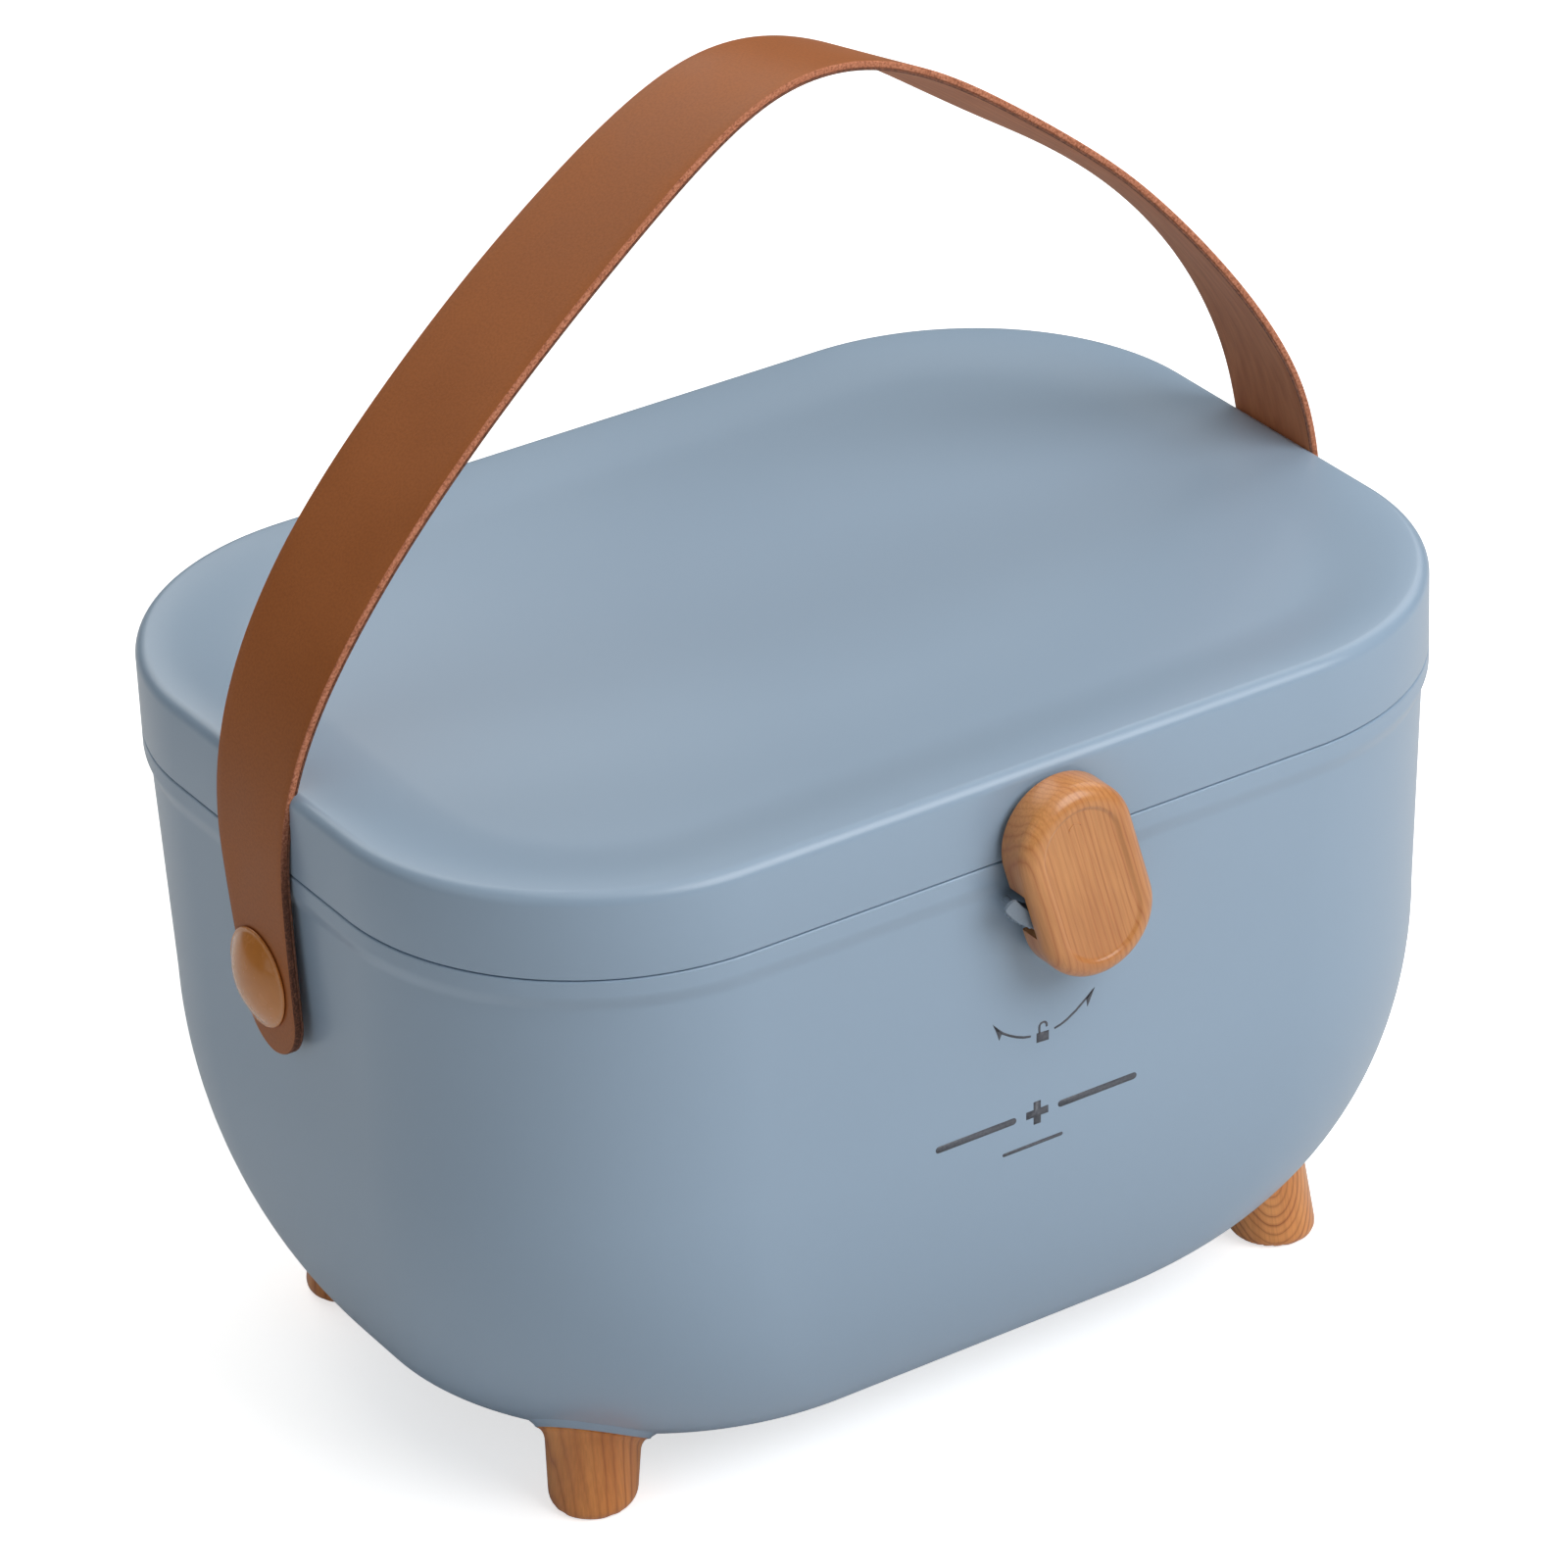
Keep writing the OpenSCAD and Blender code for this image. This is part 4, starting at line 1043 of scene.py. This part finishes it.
# The latch is a stadium-shaped knob in wood-look plastic: a hollow cap with a thick round
# rim and a dished face. A slot in each long side lets the curved guide through.
KNOB_W = 0.029
KNOB_LEN = 0.0485
KNOB_DEPTH = 0.0097
KNOB_BACK = 0.0015
KNOB_WALL = 0.0024
KNOB_FACE = 0.0026
KNOB_ROLL_IN = 0.0040
KNOB_ROLL_DOWN = 0.0036
KNOB_DISH = 0.0006
KNOB_TILT = radians(15)
KNOB_EDGE = 0.0004
KNOB_CORE = KNOB_W / 2 - 0.004
CEILING_EDGE = 0.0006
HOLLOW_SLOPE = 0.0014
ROLL_STEPS = 14
HOLLOW_STEPS = 12
SLOT_TOP = 0.0057
SLOT_CUT = 0.01
SLOT_LOW = -0.0173
SLOT_HIGH = -0.0055
knob_frame = (Matrix.Translation((LATCH_X, -HALF_W - KNOB_BACK, LATCH_Z)) @ Matrix.Rotation(pi / 2, 4, "X")
              @ Matrix.Rotation(KNOB_TILT, 4, "Z"))


def stadium(inset, z, steps=40):
    """Points of the knob's outline, drawn in by an inset, in the knob's own frame."""
    r = KNOB_W / 2 - inset
    drop = KNOB_LEN - KNOB_W
    points = []
    for centre, start in ((0, 0), (-drop, pi)):
        for i in range(steps + 1):
            a = start + pi * i / steps
            points.append(Vector((r * cos(a), centre + r * sin(a), z)))
    return points


knob_profile = edge_round(KNOB_EDGE, KNOB_EDGE, KNOB_EDGE, 270, 180)
for i in range(ROLL_STEPS + 1):
    a = pi / 2 * i / ROLL_STEPS
    knob_profile.append((KNOB_ROLL_IN * (1 - cos(a)), KNOB_DEPTH - KNOB_ROLL_DOWN * (1 - sin(a))))
knob_profile += dip(KNOB_ROLL_IN + 0.0001, KNOB_DEPTH, HOLLOW_SLOPE, KNOB_DISH, HOLLOW_STEPS)[1:]
knob_profile.append((KNOB_CORE, KNOB_DEPTH - KNOB_DISH - 0.00005))
ceiling = KNOB_DEPTH - KNOB_FACE
inner_profile = ((KNOB_CORE, ceiling), (KNOB_WALL + CEILING_EDGE, ceiling),
                 (KNOB_WALL, ceiling - CEILING_EDGE), (KNOB_WALL, 0.0003), (KNOB_WALL - 0.0003, 0))
knob_rings = [[stadium(i, z) for i, z in profile] for profile in (knob_profile, inner_profile)]
knob_wood = wood_finish("knob_wood", (0.690, 0.312, 0.105), (0.570, 0.225, 0.066), 0.6, (0, -KNOB_TILT, 0),
                        (LATCH_X + 0.002, -HALF_W - 0.01, LATCH_Z - 0.01), 0.00155, 1.6)
slot_middle = (0, (SLOT_LOW + SLOT_HIGH) / 2, SLOT_TOP - SLOT_CUT / 2)
knob_mesh = carved(shaped("latch_cap", *hollow_cap(*knob_rings), knob_wood, 40),
                   [(slot_middle, (2 * KNOB_W, SLOT_HIGH - SLOT_LOW, SLOT_CUT))], 40)
knob_mesh.transform(knob_frame)
knob = seat(knob_mesh, "latch", "latch_cap")
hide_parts("latch_knob")

# a faint arc is moulded near the top of the face, where a thumb pushes
MARK_R = 0.0017
MARK_Y = 0.0052
MARK_T = 0.00014
MARK_STEPS = 20
mark_section = ((-MARK_T, -0.0001), (MARK_T, -0.0001), (MARK_T * 0.5, 0.00008), (-MARK_T * 0.5, 0.00008))
mark_rings = []
for i in range(MARK_STEPS + 1):
    a = radians(20 + 140 * i / MARK_STEPS)
    z = KNOB_DEPTH - KNOB_DISH
    mark_rings.append([knob_frame @ Vector(((MARK_R + u) * cos(a), MARK_Y + (MARK_R + u) * sin(a), z + v))
                       for u, v in mark_section])
seat(shaped("thumb_mark", *loft(mark_rings), knob_wood), "latch")
dress(plated, "latch_screw", "latch_washer")
dress(plastic_blue, "latch_catch")


# Under the latch the tub carries a small print in grey-brown ink: a bow with an arrow at each
# end and an open padlock between them, for the way that the latch turns. Further down stand a
# plain cross and three bars in the same ink.
INK_OUT = 0.00004
INK_IN = 0.00003
ROUND_Z = FLOOR_Z + ROUND_H
ink = finish("grey_ink", (0.100, 0.108, 0.130), 0.45)
flecked(ink, 1700.0, 2.0, (0.082, 0.090, 0.112), (0.118, 0.126, 0.148), 0.000006, 0.5, 0.35, 0.65)


def front_inset(z):
    """How far the tub's front lies inside the rim's outline at a height."""
    if z > ROUND_Z:
        return SLOPE_IN + (WALL_STEP - SLOPE_IN) * (SLOPE_Z - z) / (SLOPE_Z - ROUND_Z)
    return WALL_STEP + DRAW_W * (1 - sin(acos(1 - (z - FLOOR_Z) / ROUND_H)))


def printed_shape(outline):
    """A flat shape of ink on the front wall, from an outline of x and z in millimetres."""
    return loft([[(x / 1000, front_inset(z / 1000) - HALF_W - out, z / 1000) for x, z in outline]
                 for out in (-INK_IN, INK_OUT)])


def stroke(line, widths):
    """Outline of a stroke along a line, with its own half width at each point."""
    left = []
    right = []
    for i, (x, z) in enumerate(line):
        x0, z0 = line[max(i - 1, 0)]
        x1, z1 = line[min(i + 1, len(line) - 1)]
        run = hypot(x1 - x0, z1 - z0)
        nx, nz = -(z1 - z0) / run, (x1 - x0) / run
        left.append((x + nx * widths[i], z + nz * widths[i]))
        right.append((x - nx * widths[i], z - nz * widths[i]))
    return left + right[::-1]


def round_bar(x0, x1, z, half):
    """Outline of a bar with round ends."""
    ends = []
    for middle, r in ((x1 - half, half), (x0 + half, -half)):
        ends += [(middle + r * cos(radians(a)), z + r * sin(radians(a))) for a in range(-90, 91, 30)]
    return ends


left_bow = [(-12.2, 113.7), (-11.2, 112.4), (-9.9, 111.1), (-8.2, 109.9), (-6.4, 108.9), (-4.5, 108.1),
            (-2.6, 107.65)]
right_bow = [(3.6, 107.5), (5.3, 107.9), (7.0, 108.6), (9.3, 110.0), (11.0, 111.3), (12.6, 112.6),
             (13.9, 113.8)]
shackle = [(-0.35, 107.6)]
shackle += [(0.62 - 0.97 * cos(radians(a)), 109.2 + 0.97 * sin(radians(a))) for a in range(0, 181, 20)]
shackle.append((1.59, 108.75))
turn_marks = [stroke(left_bow, [0.16, 0.26, 0.28, 0.28, 0.28, 0.28, 0.26]),
              stroke(right_bow, [0.26, 0.28, 0.28, 0.28, 0.28, 0.26, 0.16]),
              [(-12.5, 114.3), (-10.1, 111.2), (-10.9, 109.6), (-11.5, 111.6)],
              [(14.3, 114.2), (12.0, 112.3), (12.35, 109.9), (13.2, 111.7)],
              stroke(shackle, [0.27] * len(shackle)),
              [(-1.15, 105.45), (2.1, 105.25), (2.15, 107.65), (-1.1, 107.85)]]
CROSS_X = -1.1
CROSS_Z = 87.6
CROSS_HALF = 2.9
CROSS_ARM = 0.95
cross = []
for turn_by in range(4):
    c, s = round(cos(pi / 2 * turn_by)), round(sin(pi / 2 * turn_by))
    for u, v in ((CROSS_ARM, CROSS_ARM), (CROSS_ARM, CROSS_HALF), (-CROSS_ARM, CROSS_HALF)):
        cross.append((CROSS_X + u * c - v * s, CROSS_Z + u * s + v * c))
plain_marks = [cross, round_bar(-27.8, -6.6, CROSS_Z, 0.85), round_bar(4.4, 25.4, CROSS_Z, 0.85),
               round_bar(-10.2, 5.8, 79.6, 0.45)]
for name, marks in (("turn_print", turn_marks), ("front_print", plain_marks)):
    seat(shaped(name, *joined(*[printed_shape(outline) for outline in marks]), ink))


# The lift-out tray hangs on the tub's ledge: a white moulding with a wall to carry it by, and
# two pale loose dividers that stand between small strips.
tray_white = finish("tray_white", (0.78, 0.80, 0.82), 0.42)
flecked(tray_white, 1400.0, 2.0, (0.765, 0.785, 0.805), (0.795, 0.815, 0.835), 0.00002, 0.5)
dress(tray_white, "tray")
divider_grey = finish("divider_grey", (0.66, 0.70, 0.74), 0.40)
flecked(divider_grey, 1100.0, 2.0, (0.64, 0.68, 0.72), (0.68, 0.72, 0.76), 0.00002, 0.5)
dress(divider_grey, "left_divider", "right_divider")
